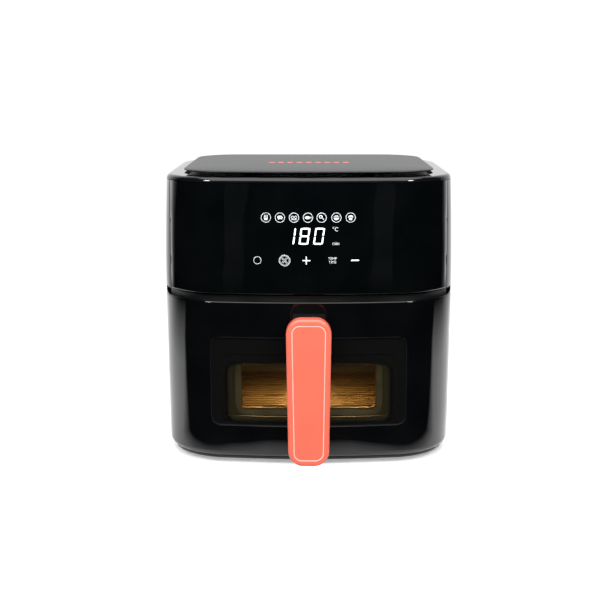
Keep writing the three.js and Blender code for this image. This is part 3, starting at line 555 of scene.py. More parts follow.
SLOT_FINISH: dict[str, Finish] = {
    "gloss_housing": BLACK_GLOSS,
    "rim_plastic": RIM_GLOSS,
    "panel_plastic": PANEL_GLOSS,
    "drawer_plastic": DRAWER_GLOSS,
    "lid_plastic": LID_SATIN,
    "satin_plastic": SATIN,
    "foot_rubber": RUBBER,
    "inlet_rubber": RUBBER,
    "handle_plastic": CORAL,
    "handle_cover_plastic": CORAL,
    "outer_glass": OUTER_GLASS,
    "inner_glass": INNER_GLASS,
    "lamp_glass": LAMP_GLASS,
    "gold_trim": BRONZE,
    "pan_coating": PAN_COAT,
    "plate_coating": PLATE_COAT,
    "silicone": SILICONE,
    "sheet_metal": SHEET,
    "element_metal": SHEATH,
    "wire_metal": WIRE,
    "machined_metal": TURNED,
    "fan_aluminium": ALUMINIUM,
    "board_laminate": BOARD,
    "white_plastic": WHITE_PLASTIC,
    "winding": COPPER,
    "plunger_plastic": PLUNGER,
}


NODE_FINISH: dict[str, Finish] = {"drawer_liner": LINER_SATIN, "window_gasket": GASKET_OLIVE}


# ---------------------------------------------------------------- meshes


def skin_of(node: Piece) -> BVHTree:
    """Gives a CAD node's surface for ray casts."""
    corners = [vertex.co.copy() for vertex in node.data.vertices]
    return BVHTree.FromPolygons(corners, [tuple(face.vertices) for face in node.data.polygons])


def object_of(name: str, mesh: Mesh, finish: Finish) -> Piece:
    """Links a mesh into the scene as an object at the origin, in one finish.

    Args:
        name: the object's name.
        mesh: its mesh.
        finish: its finish.

    Returns:
        The object.
    """
    made = bpy.data.objects.new(name, mesh)
    mesh.materials.clear()
    mesh.materials.append(finish.material())
    bpy.context.scene.collection.objects.link(made)
    return made


def flattened(made: Piece) -> Piece:
    """Keeps large flat faces shading flat beside their rounded edges.

    Args:
        made: the piece.

    Returns:
        The same piece.
    """
    weighted = made.modifiers.new("weighted", "WEIGHTED_NORMAL")
    weighted.keep_sharp = True
    applied(made)
    return made


def applied(made: Piece) -> None:
    """Turns an object's modifiers into plain mesh.

    Args:
        made: the piece, which changes in place.
    """
    graph = bpy.context.evaluated_depsgraph_get()
    mesh = bpy.data.meshes.new_from_object(made.evaluated_get(graph))
    made.modifiers.clear()
    made.data = mesh


def mesh_of(name: str, points: Sequence[Place], faces: Sequence[Sequence[int]]) -> Mesh:
    """Makes a mesh with doubles merged and faces turned outwards.

    Args:
        name: the mesh's name.
        points: corner positions.
        faces: corner numbers of each face.

    Returns:
        The mesh, smooth except at sharp edges.
    """
    mesh = bpy.data.meshes.new(name)
    mesh.from_pydata([tuple(p) for p in points], [], [tuple(f) for f in faces])
    work = bmesh.new()
    work.from_mesh(mesh)
    bmesh.ops.remove_doubles(work, verts=work.verts, dist=0.002 * MM)
    bmesh.ops.recalc_face_normals(work, faces=work.faces)
    soften(work, 35.0)
    work.to_mesh(mesh)
    work.free()
    return mesh


def soften(work: bmesh.types.BMesh, degrees: float) -> None:
    """Shades a mesh smooth, keeping edges sharper than an angle.

    Args:
        work: the mesh under work.
        degrees: the angle.
    """
    for face in work.faces:
        face.smooth = True
    for edge in work.edges:
        edge.smooth = len(edge.link_faces) == 2 and edge.calc_face_angle(0.0) < math.radians(degrees)


def rounded_outline(
    half_top: float, half_low: float, low: float, high: float, corner: float, steps: int = 12
) -> Loop:
    """Gives a rounded rectangle whose foot may be narrower than its top.

    Args:
        half_top: half its width at the top.
        half_low: half its width at the foot.
        low: height of the foot.
        high: height of the top.
        corner: corner radius.
        steps: points in each corner.

    Returns:
        Points anticlockwise from the lower left, seen from the front.
    """
    centres = [
        (-half_low + corner, low + corner, math.pi),
        (half_low - corner, low + corner, 1.5 * math.pi),
        (half_top - corner, high - corner, 0.0),
        (-half_top + corner, high - corner, 0.5 * math.pi),
    ]
    points = []
    for x, z, start in centres:
        for step in range(steps + 1):
            angle = start + step / steps * math.pi / 2
            points.append((x + corner * math.cos(angle), z + corner * math.sin(angle)))
    return points


def ring_stack(name: str, rings: Sequence[Sequence[Place]], closed: bool = False) -> Mesh:
    """Joins rings of equal length into one skin, capped at both ends unless it closes on itself.

    Args:
        name: the mesh's name.
        rings: each ring's corner positions.
        closed: whether the last ring joins the first.

    Returns:
        The mesh.
    """
    count = len(rings[0])
    points = [corner for ring in rings for corner in ring]
    faces = []
    for level in range(len(rings) if closed else len(rings) - 1):
        here, above = level * count, (level + 1) % len(rings) * count
        for i in range(count):
            j = (i + 1) % count
            faces.append((here + i, here + j, above + j, above + i))
    if not closed:
        faces.append(tuple(range(count)))
        faces.append(tuple((len(rings) - 1) * count + i for i in range(count)))
    return mesh_of(name, points, faces)


def turns(count: int) -> list[float]:
    """Gives evenly spaced angles of a full turn."""
    return [2 * math.pi * step / count for step in range(count)]


def quarter(count: int) -> list[float]:
    """Gives evenly spaced angles of a quarter turn, both ends included."""
    return [math.pi / 2 * step / count for step in range(count + 1)]


def bead(name: str, outline: Sequence[Point], depths: Sequence[float], radius: float, sides: int = 8) -> Mesh:
    """Makes a round wire along a closed outline that stands in the XZ plane.

    Args:
        name: the mesh's name.
        outline: points of the outline, x and z.
        depths: y of the wire's middle at each point.
        radius: wire radius.
        sides: faces round the wire.

    Returns:
        The mesh.
    """
    count = len(outline)
    rings = []
    for i, (x, z) in enumerate(outline):
        before, after = outline[i - 1], outline[(i + 1) % count]
        along = Vector((after[0] - before[0], 0, after[1] - before[1])).normalized()
        out = Vector((along.z, 0, -along.x))
        centre = Vector((x, depths[i], z))
        back = Vector((0, 1, 0))
        rings.append([centre + radius * (math.cos(a) * out + math.sin(a) * back) for a in turns(sides)])
    return ring_stack(name, rings, closed=True)


# ---------------------------------------------------------------- repeats


BAR_SIDES = 10
SCREW_SIDES = 24
# Radius and height of a screw head's dome, in millimetres.
SCREW_DOME = ((3.1, 0.0), (3.1, 0.5), (2.6, 1.1), (1.6, 1.5))
# Tip reach, web reach and height of its cross slot, in millimetres.
SCREW_CROSS = ((1.3, 0.55, 1.5), (1.04, 0.44, 0.5))


class Socket(Enum):
    """Kinds of input that a repeat tree takes."""

    COUNT = "NodeSocketInt"
    LENGTH = "NodeSocketFloat"
    VECTOR = "NodeSocketVector"
    MATERIAL = "NodeSocketMaterial"
    OBJECT = "NodeSocketObject"


@dataclass
class RepeatTree:
    """A Geometry Nodes tree with named inputs, run on a host object and turned to plain mesh."""

    name: str
    ids: dict[str, str] = field(default_factory=dict)

    def start(self, inputs: dict[str, Socket]) -> tuple[Tree, Node]:
        """Makes the empty tree and its inputs.

        Args:
            inputs: input name to its kind.

        Returns:
            The tree and its group input node.
        """
        tree = bpy.data.node_groups.new(self.name, "GeometryNodeTree")
        tree.interface.new_socket("Geometry", in_out="INPUT", socket_type="NodeSocketGeometry")
        tree.interface.new_socket("Geometry", in_out="OUTPUT", socket_type="NodeSocketGeometry")
        for label, kind in inputs.items():
            made = tree.interface.new_socket(label, in_out="INPUT", socket_type=kind.value)
            self.ids[label] = made.identifier
        return tree, add(tree, "NodeGroupInput")

    def end(self, tree: Tree, source: Node, geometry: Output) -> None:
        """Realizes the instances, sets the material and closes the tree.

        Args:
            tree: the tree.
            source: its group input node.
            geometry: the instances.
        """
        solid = add(tree, "GeometryNodeRealizeInstances", {}, {0: geometry})
        smooth = add(tree, "GeometryNodeSetShadeSmooth", {}, {0: solid.outputs[0]})
        dressed = add(tree, "GeometryNodeSetMaterial", {}, {
            "Geometry": smooth.outputs[0], "Material": source.outputs["Material"],
        })
        add(tree, "NodeGroupOutput", {}, {0: dressed.outputs[0]})

    def run(self, host: Piece, tree: Tree, values: dict[str, object]) -> None:
        """Runs the tree on a host and keeps only the plain mesh.

        Args:
            host: the object whose mesh the tree starts from.
            tree: the finished tree.
            values: input name to value.
        """
        modifier = host.modifiers.new(self.name, "NODES")
        modifier.node_group = tree
        for label, value in values.items():
            modifier[self.ids[label]] = value
        host.update_tag()
        bpy.context.view_layer.update()
        applied(host)


def bar_row(
    name: str, start: Vector, count: int, pitch: Vector, length: float, radius: float, finish: Finish
) -> Piece:
    """Makes a row of round bars that lie along X.

    Args:
        name: the piece's name.
        start: middle of the first bar.
        count: how many bars.
        pitch: from each bar to the next.
        length: bar length.
        radius: bar radius.
        finish: the bars' finish.

    Returns:
        The finished piece.
    """
    repeat = RepeatTree(name + "_tree")
    tree, source = repeat.start({
        "Count": Socket.COUNT, "Start": Socket.VECTOR, "Pitch": Socket.VECTOR,
        "Length": Socket.LENGTH, "Radius": Socket.LENGTH, "Material": Socket.MATERIAL,
    })
    get = source.outputs
    line = add(tree, "GeometryNodeMeshLine", {}, {
        "Count": get["Count"], "Start Location": get["Start"], "Offset": get["Pitch"],
    })
    bar = add(tree, "GeometryNodeMeshCylinder", {"Vertices": BAR_SIDES}, {
        "Radius": get["Radius"], "Depth": get["Length"],
    })
    copies = add(tree, "GeometryNodeInstanceOnPoints", {"Rotation": (0, math.pi / 2, 0)}, {
        "Points": line.outputs[0], "Instance": bar.outputs["Mesh"],
    })
    repeat.end(tree, source, copies.outputs[0])
    host = object_of(name, bpy.data.meshes.new(name), finish)
    repeat.run(host, tree, {
        "Count": count, "Start": start, "Pitch": pitch, "Length": length, "Radius": radius,
        "Material": finish.material(),
    })
    return host


def screw_set(name: str, places: Sequence[Place], turn: Place, finish: Finish) -> Piece:
    """Makes one cross-head screw head at each place.

    Args:
        name: the piece's name.
        places: middle of each head's underside.
        turn: Euler angles that take +Z to the way the heads face.
        finish: the heads' finish.

    Returns:
        The finished piece.
    """
    rings = []
    for radius, height in SCREW_DOME:
        rings.append([(radius * math.cos(a), radius * math.sin(a), height) for a in turns(SCREW_SIDES)])
    for tip, web, height in SCREW_CROSS:
        reach = [tip if side % (SCREW_SIDES // 4) == 0 else web for side in range(SCREW_SIDES)]
        spokes = zip(reach, turns(SCREW_SIDES))
        rings.append([(far * math.cos(a), far * math.sin(a), height) for far, a in spokes])
    rings = [[tuple(value * MM for value in corner) for corner in ring] for ring in rings]
    head = object_of(name + "_head", ring_stack(name + "_head", rings), finish)
    repeat = RepeatTree(name + "_tree")
    tree, source = repeat.start({"Head": Socket.OBJECT, "Turn": Socket.VECTOR, "Material": Socket.MATERIAL})
    info = add(tree, "GeometryNodeObjectInfo", {}, {"Object": source.outputs["Head"]})
    points = add(tree, "GeometryNodeMeshToPoints", {}, {0: source.outputs["Geometry"]})
    rotation = add(tree, "FunctionNodeEulerToRotation", {}, {0: source.outputs["Turn"]})
    copies = add(tree, "GeometryNodeInstanceOnPoints", {}, {
        "Points": points.outputs[0], "Instance": info.outputs["Geometry"], "Rotation": rotation.outputs[0],
    })
    repeat.end(tree, source, copies.outputs[0])
    spots = bpy.data.meshes.new(name)
    spots.from_pydata([tuple(p) for p in places], [], [])
    host = object_of(name, spots, finish)
    repeat.run(host, tree, {"Head": head, "Turn": Vector(turn), "Material": finish.material()})
    bpy.data.objects.remove(head)
    return host


# ---------------------------------------------------------------- sub-assemblies


@dataclass
class SubAssembly:
    """Part of the appliance: it dresses CAD nodes and adds pieces of its own."""

    frame: dict
    slots: dict[str, str]

    def finish_of(self, node: str) -> Finish:
        """Gives a CAD node's finish: its own where it has one, else its slot's."""
        return NODE_FINISH.get(node, SLOT_FINISH[self.slots[node]])

    def dress(self, nodes: Iterable[str]) -> None:
        """Gives each CAD node the finish of its material slot.

        Args:
            nodes: CAD node names.
        """
        for node in nodes:
            made = self.frame["nodes"][node]
            material = self.finish_of(node).material()
            for place in made.material_slots:
                place.material = material
            log.info("dressed %s", node)

    def smooth(self, nodes: Iterable[str], body: str, degrees: float = 30.0) -> None:
        """Shows each CAD node as a merged copy with smooth shading.

        Args:
            nodes: CAD node names.
            body: the body they ride on.
            degrees: edges sharper than this stay sharp.
        """
        for node in nodes:
            source = self.frame["nodes"][node].data
            mesh = bpy.data.meshes.new(node + "_finished")
            corners = [vertex.co.copy() for vertex in source.vertices]
            mesh.from_pydata(corners, [], [tuple(face.vertices) for face in source.polygons])
            work = bmesh.new()
            work.from_mesh(mesh)
            bmesh.ops.remove_doubles(work, verts=work.verts, dist=0.005 * MM)
            soften(work, degrees)
            work.to_mesh(mesh)
            work.free()
            made = object_of(node + "_finished", mesh, self.finish_of(node))
            self.settle(flattened(made), body, self.slots[node], node)

    def settle(self, made: Piece, body: str, slot: str, *replaced: str) -> None:
        """Hands a finished piece to the frame.

        Args:
            made: the piece.
            body: the body it rides on.
            slot: the material slot it would take its finish from; not used.
            replaced: CAD nodes that it stands for.
        """
        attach(made, body)
        if replaced:
            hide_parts(*replaced)
        log.info("made %s", made.name)


@dataclass
class Housing(SubAssembly):
    """The outer shell, its frame, lid, base and rear, with the screws that hold them."""

    base_screw_x: float = 34 * MM
    base_screw_front: float = 120 * MM
    base_screw_back: float = 60 * MM
    rear_screw_x: float = 70 * MM
    rear_screw_low: float = 28 * MM
    rear_screw_high: float = 16 * MM
    dashes: int = 9
    dash_pitch: float = 9.2 * MM
    dash_half_width: float = 2.9 * MM
    dash_half_length: float = 6.5 * MM
    dash_corner: float = 1.2 * MM
    dash_place: float = 0.36
    print_room: float = 0.06 * MM

    def build(self) -> None:
        """Dresses the shell and adds the screws and the lid's print."""
        self.smooth([
            "housing_shell", "base_plate", "top_frame", "top_cover", "control_panel", "intake_tray",
            "foot_front_left", "foot_front_right", "foot_rear_left", "foot_rear_right", "cord_inlet",
        ], "housing")
        self.dress(["rear_vent_grille", "cavity_roof", "cavity_liner", "rail_left", "rail_right"])
        self.base_screws()
        self.rear_screws()
        self.lid_print()

    def base_screws(self) -> None:
        """Adds four screw heads under the base."""
        low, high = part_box("base_plate")
        under = low.z - 0.1 * MM
        places = [
            (x, y, under)
            for x in (low.x + self.base_screw_x, high.x - self.base_screw_x)
            for y in (low.y + self.base_screw_front, high.y - self.base_screw_back)
        ]
        self.settle(screw_set("base_screws", places, (math.pi, 0, 0), TURNED), "housing", "machined_metal")

    def rear_screws(self) -> None:
        """Adds a screw head at each side of the rear, above and below."""
        low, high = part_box("housing_shell")
        shell = skin_of(self.frame["nodes"]["housing_shell"])
        places = []
        for x in (-self.rear_screw_x, self.rear_screw_x):
            for z in (low.z + self.rear_screw_low, high.z - self.rear_screw_high):
                places.append(tuple(shell.ray_cast(Vector((x, high.y + 0.1, z)), Vector((0, -1, 0)))[0]))
        heads = screw_set("rear_screws", places, (-math.pi / 2, 0, 0), TURNED)
        self.settle(heads, "housing", "machined_metal")

    def lid_print(self) -> None:
        """Adds a plain row of short red dashes on the lid, which makes room for their thickness."""
        lid = skin_of(self.frame["nodes"]["top_cover"])
        for corner in bpy.data.objects["top_cover_finished"].data.vertices:
            corner.co.z -= self.print_room
        low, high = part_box("top_cover")
        middle = low.y + self.dash_place * (high.y - low.y)
        half_width, half_length = self.dash_half_width, self.dash_half_length
        outline = rounded_outline(half_width, half_width, -half_length, half_length, self.dash_corner, 3)
        count = len(outline)
        points, faces = [], []
        for number in range(self.dashes):
            x = (number - (self.dashes - 1) / 2) * self.dash_pitch
            start = len(points)
            for lift in (-self.print_room + 0.02 * MM, -self.print_room + 0.05 * MM):
                for dx, dy in outline:
                    hit = lid.ray_cast(Vector((x + dx, middle + dy, 1.0)), Vector((0, 0, -1)))[0]
                    points.append((hit.x, hit.y, hit.z + lift))
            faces.append(tuple(start + count + i for i in range(count)))
            faces.append(tuple(start + i for i in range(count)))
            for i in range(count):
                j = (i + 1) % count
                faces.append((start + i, start + j, start + count + j, start + count + i))
        made = object_of("lid_dashes", mesh_of("lid_dashes", points, faces), RED_PRINT)
        self.settle(made, "housing", "lid_plastic")


class Glyph(Enum):
    """Symbols inside the round programme marks."""

    FRIES = 0
    STEAK = 1
    ROLLS = 2
    FISH = 3
    DRUMSTICK = 4
    BOWL = 5
    MUFFIN = 6


@dataclass
class ControlMarks(SubAssembly):
    """Lit marks behind the panel: programme rings, three digits, units and touch keys.

    The marks' own sizes and places are in millimetres, x from the middle and z from the table.
    """

    ring_x: tuple[float, ...] = (-39.5, -26.5, -13.6, -0.7, 11.9, 25.5, 38.7)
    ring_height: float = 238.4
    ring_radius: float = 4.6
    ring_line: float = 0.5
    digit_low: float = 213.4
    digit_height: float = 15.6
    digit_stroke: float = 1.5
    digit_width: float = 9.0
    digit_gap: float = 0.2
    digit_slant: float = 0.14
    digit_left: tuple[float, ...] = (-22.6, -9.5, 4.0)
    key_height: float = 198.6
    word_depth: float = 0.03 * MM
    lift: float = 0.04 * MM
    thickness: float = 0.04 * MM

    def build(self) -> None:
        """Makes every mark and lays it on the panel."""
        self.panel = skin_of(self.frame["nodes"]["control_panel"])
        for glyph, x in zip(Glyph, self.ring_x):
            shapes = [self.ring(x, self.ring_height, self.ring_radius, self.ring_line)]
            for shape in self.symbol(glyph):
                shapes.append([self.moved(loop, x, self.ring_height) for loop in shape])
            self.lay("programme_" + glyph.name.lower(), shapes, MARK_INK)
        self.lay("digits", [[loop] for loop in self.digits()], DIGIT_INK)
        self.lay("key_power", [self.ring(-47.6, self.key_height, 3.6, 0.45)], MARK_INK)
        self.lay("key_fan", self.fan_key(-22.3), MARK_INK)
        self.lay("key_more", [[self.cross(-2.2, self.key_height, 3.6, 0.42)]], DIGIT_INK)
        self.lay("key_less", [[self.bar(43.1, self.key_height, 3.6, 0.55)]], DIGIT_INK)
        self.text("unit_temperature", "°C", 24.6, 227.4, 5.2)
        self.text("unit_time", "min", 25.1, 214.4, 4.5)
        self.text("key_temp", "TEMP", 22.0, 200.3, 3.4)
        self.text("key_time", "TIME", 22.0, 196.9, 3.4)

    def ring(self, x: float, z: float, radius: float, line: float) -> list[Loop]:
        """Gives a ring as an outer loop and its hole."""
        return [self.circle(x, z, radius), self.circle(x, z, radius - line)]

    def circle(self, x: float, z: float, radius: float, steps: int = 32) -> Loop:
        """Gives a circle's points."""
        return [(x + radius * math.cos(a), z + radius * math.sin(a)) for a in turns(steps)]

    def moved(self, loop: Loop, x: float, z: float) -> Loop:
        """Moves a loop by x and z."""
        return [(px + x, pz + z) for px, pz in loop]

    def bar(self, x: float, z: float, half_length: float, half_line: float) -> Loop:
        """Gives a level bar."""
        return [(x - half_length, z - half_line), (x + half_length, z - half_line),
                (x + half_length, z + half_line), (x - half_length, z + half_line)]

    def cross(self, x: float, z: float, reach: float, half: float) -> Loop:
        """Gives a plus sign as one loop.

        Args:
            x: its middle.
            z: its middle.
            reach: half its length.
            half: half its line's width.

        Returns:
            The loop.
        """
        loop = []
        for turn in range(4):
            for px, pz in ((half, reach), (half, half), (reach, half)):
                for _ in range(turn):
                    px, pz = pz, -px
                loop.append((x + px, z + pz))
        return loop

    def symbol(self, glyph: Glyph) -> list[list[Loop]]:
        """Gives the shapes of a programme symbol round the origin.

        Args:
            glyph: the programme.

        Returns:
            Shapes, each an outer loop and the loops of its holes.
        """
        arch = [math.pi * step / 12 for step in range(13)]
        dome = [(2.5 * math.cos(a), 2.2 * math.sin(a)) for a in arch]
        fish = [(2.4 * math.cos(a) - 0.5, 1.4 * math.sin(a)) for a in turns(20)]
        tub = [(-1.8, -0.1), (-1.3, -2.4), (1.3, -2.4), (1.8, -0.1)]
        steak = [(-2.6, 0.6), (-1.2, 1.9), (1.3, 1.7), (2.7, 0.2), (1.8, -1.5), (0, -1.2), (-1.6, -1.7)]
        bone = [(0.6, -0.6), (1.0, -0.2), (2.4, -1.6), (1.9, -2.2)]
        case = [(-1.7, -0.5), (1.7, -0.5), (1.2, -2.4), (-1.2, -2.4)]
        bowl = [(px, -0.2 - pz) for px, pz in dome]
        rolls = [self.ring(-1.5, 0.3, 1.3, 0.5), self.ring(1.5, 0.3, 1.3, 0.5)]
        return {
            Glyph.FRIES: [[tub], *[[self.bar(dx, 1.3, 0.35, 1.1)] for dx in (-1.3, 0, 1.3)]],
            Glyph.STEAK: [[steak, self.circle(0.9, 0.3, 0.6, 12)]],
            Glyph.ROLLS: [*rolls, [self.bar(0, -1.9, 2.4, 0.3)]],
            Glyph.FISH: [[fish, self.circle(-1.8, 0.3, 0.35, 8)], [[(2.1, 0), (3.1, 1.2), (3.1, -1.2)]]],
            Glyph.DRUMSTICK: [[self.circle(-0.8, 0.8, 1.7, 20), self.circle(-0.8, 0.8, 0.9, 12)], [bone]],
            Glyph.BOWL: [[bowl], [self.bar(0, 0.7, 2.5, 0.3)], [self.bar(0, 1.8, 1.3, 0.3)]],
            Glyph.MUFFIN: [[dome], [case]],
        }[glyph]

    def upright(self, x: float, low: float, high: float) -> Loop:
        """Gives an upright segment of a digit, pointed at both ends.

        Args:
            x: its middle.
            low: its foot.
            high: its top.

        Returns:
            The loop.
        """
        half, gap = self.digit_stroke / 2, self.digit_gap
        return [(x - half, low + half + gap), (x, low + gap), (x + half, low + half + gap),
                (x + half, high - half - gap), (x, high - gap), (x - half, high - half - gap)]

    def level(self, left: float, z: float) -> Loop:
        """Gives a level segment of a digit, pointed at both ends.

        Args:
            left: the digit's left side.
            z: the segment's middle.

        Returns:
            The loop.
        """
        stroke, half, gap = self.digit_stroke, self.digit_stroke / 2, self.digit_gap
        right = left + self.digit_width
        return [(left + stroke + gap, z - half), (right - stroke - gap, z - half), (right - half - gap, z),
                (right - stroke - gap, z + half), (left + stroke + gap, z + half), (left + half + gap, z)]

    def digits(self) -> list[Loop]:
        """Gives the lit segments of the three digits, leaning to the right.

        Returns:
            One loop for each segment.
        """
        height, stroke = self.digit_height, self.digit_stroke
        middle = height / 2
        loops = []
        for lit, left in zip(("bc", "abcdefg", "abcdef"), self.digit_left):
            west, east = left + stroke / 2, left + self.digit_width - stroke / 2
            shapes = {
                "a": self.level(left, height - stroke / 2), "g": self.level(left, middle),
                "d": self.level(left, stroke / 2),
                "b": self.upright(east, middle, height), "c": self.upright(east, 0, middle),
                "f": self.upright(west, middle, height), "e": self.upright(west, 0, middle),
            }
            for segment in lit:
                loop = shapes[segment]
                loops.append([(px + pz * self.digit_slant, pz + self.digit_low) for px, pz in loop])
        return loops

    def fan_key(self, x: float) -> list[list[Loop]]:
        """Gives the convection key: a double ring round four slanting petals.

        Args:
            x: its middle.

        Returns:
            Shapes, each an outer loop and its hole.
        """
        z = self.key_height
        shapes = [self.ring(x, z, 5.3, 0.4), self.ring(x, z, 4.4, 0.3)]
        for number in range(4):
            turn = math.pi / 4 + number * math.pi / 2
            petal = []
            for reach, width in ((1.6, 0.8), (1.25, 0.45)):
                loop = []
                for angle in turns(16):
                    along, across = 2.0 + reach * math.cos(angle), width * math.sin(angle)
                    loop.append((x + along * math.cos(turn) - across * math.sin(turn),
                                 z + along * math.sin(turn) + across * math.cos(turn)))
                petal.append(loop)
            shapes.append(petal)
        return shapes

    def lay(self, name: str, shapes: Sequence[Sequence[Loop]], ink: Finish) -> None:
        """Fills shapes, gives them a hair of thickness and lays them on the panel.

        Args:
            name: the mark's name.
            shapes: each an outer loop in millimetres, then the loops of its holes.
            ink: the mark's finish.
        """
        corners, faces = [], []
        for shape in shapes:
            start = len(corners)
            count = sum(len(loop) for loop in shape)
            for depth in (self.lift + self.thickness, self.lift):
                for x, z in (point for loop in shape for point in loop):
                    corners.append((x * MM, self.panel_at(x * MM, z * MM) - depth, z * MM))
            for face in tessellate_polygon([[Vector((x, z, 0)) for x, z in loop] for loop in shape]):
                faces.append(tuple(start + i for i in face))
                faces.append(tuple(start + count + i for i in reversed(face)))
            first = start
            for loop in shape:
                for i in range(len(loop)):
                    here, there = first + i, first + (i + 1) % len(loop)
                    faces.append((here, there, there + count, here + count))
                first += len(loop)
        self.settle(object_of(name, mesh_of(name, corners, faces), ink), "housing", "panel_plastic")

    def panel_at(self, x: float, z: float) -> float:
        """Gives y of the panel's front at x and z."""
        return self.panel.ray_cast(Vector((x, -1, z)), Vector((0, 1, 0)))[0].y

    def text(self, name: str, words: str, x: float, z: float, size: float) -> None:
        """Lays a short generic word or unit on the panel, as a mesh wrapped onto its front.

        Args:
            name: the mark's name.
            words: what it says.
            x: its middle.
            z: its middle.
            size: letter size.
        """
        curve = bpy.data.curves.new(name, "FONT")
        curve.body, curve.size, curve.extrude = words, size * MM, self.word_depth
        curve.align_x, curve.align_y = "CENTER", "CENTER"
        flat = bpy.data.objects.new(name + "_flat", curve)
        bpy.context.scene.collection.objects.link(flat)
        bpy.context.view_layer.update()
        mesh = bpy.data.meshes.new_from_object(flat.evaluated_get(bpy.context.evaluated_depsgraph_get()))
        bpy.data.objects.remove(flat)
        corners = []
        for corner in mesh.vertices:
            along, up = corner.co.x + x * MM, corner.co.y + z * MM
            corners.append((along, self.panel_at(along, up) - self.lift - corner.co.z, up))
        faces = [tuple(face.vertices) for face in mesh.polygons]
        self.settle(object_of(name, mesh_of(name, corners, faces), MARK_INK), "housing", "panel_plastic")


@dataclass
class Drawer(SubAssembly):
    """The drawer: glossy front, window, pan and their trims."""

    bead_radius: float = 0.7 * MM
    pane_inset: float = 6.2 * MM
    pane_corner: float = 5 * MM
    longest_step: float = 5 * MM

    def build(self) -> None:
        """Dresses the drawer and adds the gold bead round the inner pane."""
        self.smooth(["drawer_front", "drawer_liner", "outer_window", "window_gasket", "pan",
                     "inner_window_frame", "handle_neck"], "drawer")
        self.dress(["inner_window", "handle_screw_lower", "handle_screw_upper"])
        self.recess_bead()
        low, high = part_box("inner_window_frame")
        half = high.x - self.pane_inset
        foot, top = low.z + self.pane_inset, high.z - self.pane_inset
        outline = rounded_outline(half, half, foot, top, self.pane_corner)
        wire = bead("pane_bead", outline, [low.y + 0.2 * MM] * len(outline), self.bead_radius)
        self.settle(object_of("pane_bead", wire, GOLD), "drawer", "gold_trim")

    def recess_bead(self) -> None:
        """Adds the polished bevel round the window recess, painted grey as a highlight line."""
        front = skin_of(self.frame["nodes"]["drawer_front"])
        half, foot, top = RECESS.half_width * MM, RECESS.low * MM, RECESS.high * MM
        corners = rounded_outline(half, half, foot, top, RECESS.corner * MM)
        sides = zip(corners, corners[1:] + corners[:1])
        outline = [point for start, end in sides for point in self.steps(start, end)]
        depths = []
        for x, z in outline:
            out = Vector((x, 0, z - (foot + top) / 2)).normalized() * 1.2 * MM
            hit = front.ray_cast(Vector((x + out.x, -1, z + out.z)), Vector((0, 1, 0)))[0]
            depths.append(hit.y + 0.5 * MM)
        # The bead's grey is a painted highlight line round the recess; its gloss catches the side lights too.
        wire = bead("recess_bead", outline, depths, self.bead_radius)
        self.settle(object_of("recess_bead", wire, RECESS_HIGHLIGHT_BEAD), "drawer", "drawer_plastic")

    def steps(self, start: Point, end: Point) -> Loop:
        """Splits a straight stretch into short steps.

        Args:
            start: one end.
            end: the other end.

        Returns:
            The points, without the end.
        """
        count = max(1, round(math.dist(start, end) / self.longest_step))
        across, up = end[0] - start[0], end[1] - start[1]
        return [(start[0] + across * i / count, start[1] + up * i / count) for i in range(count)]


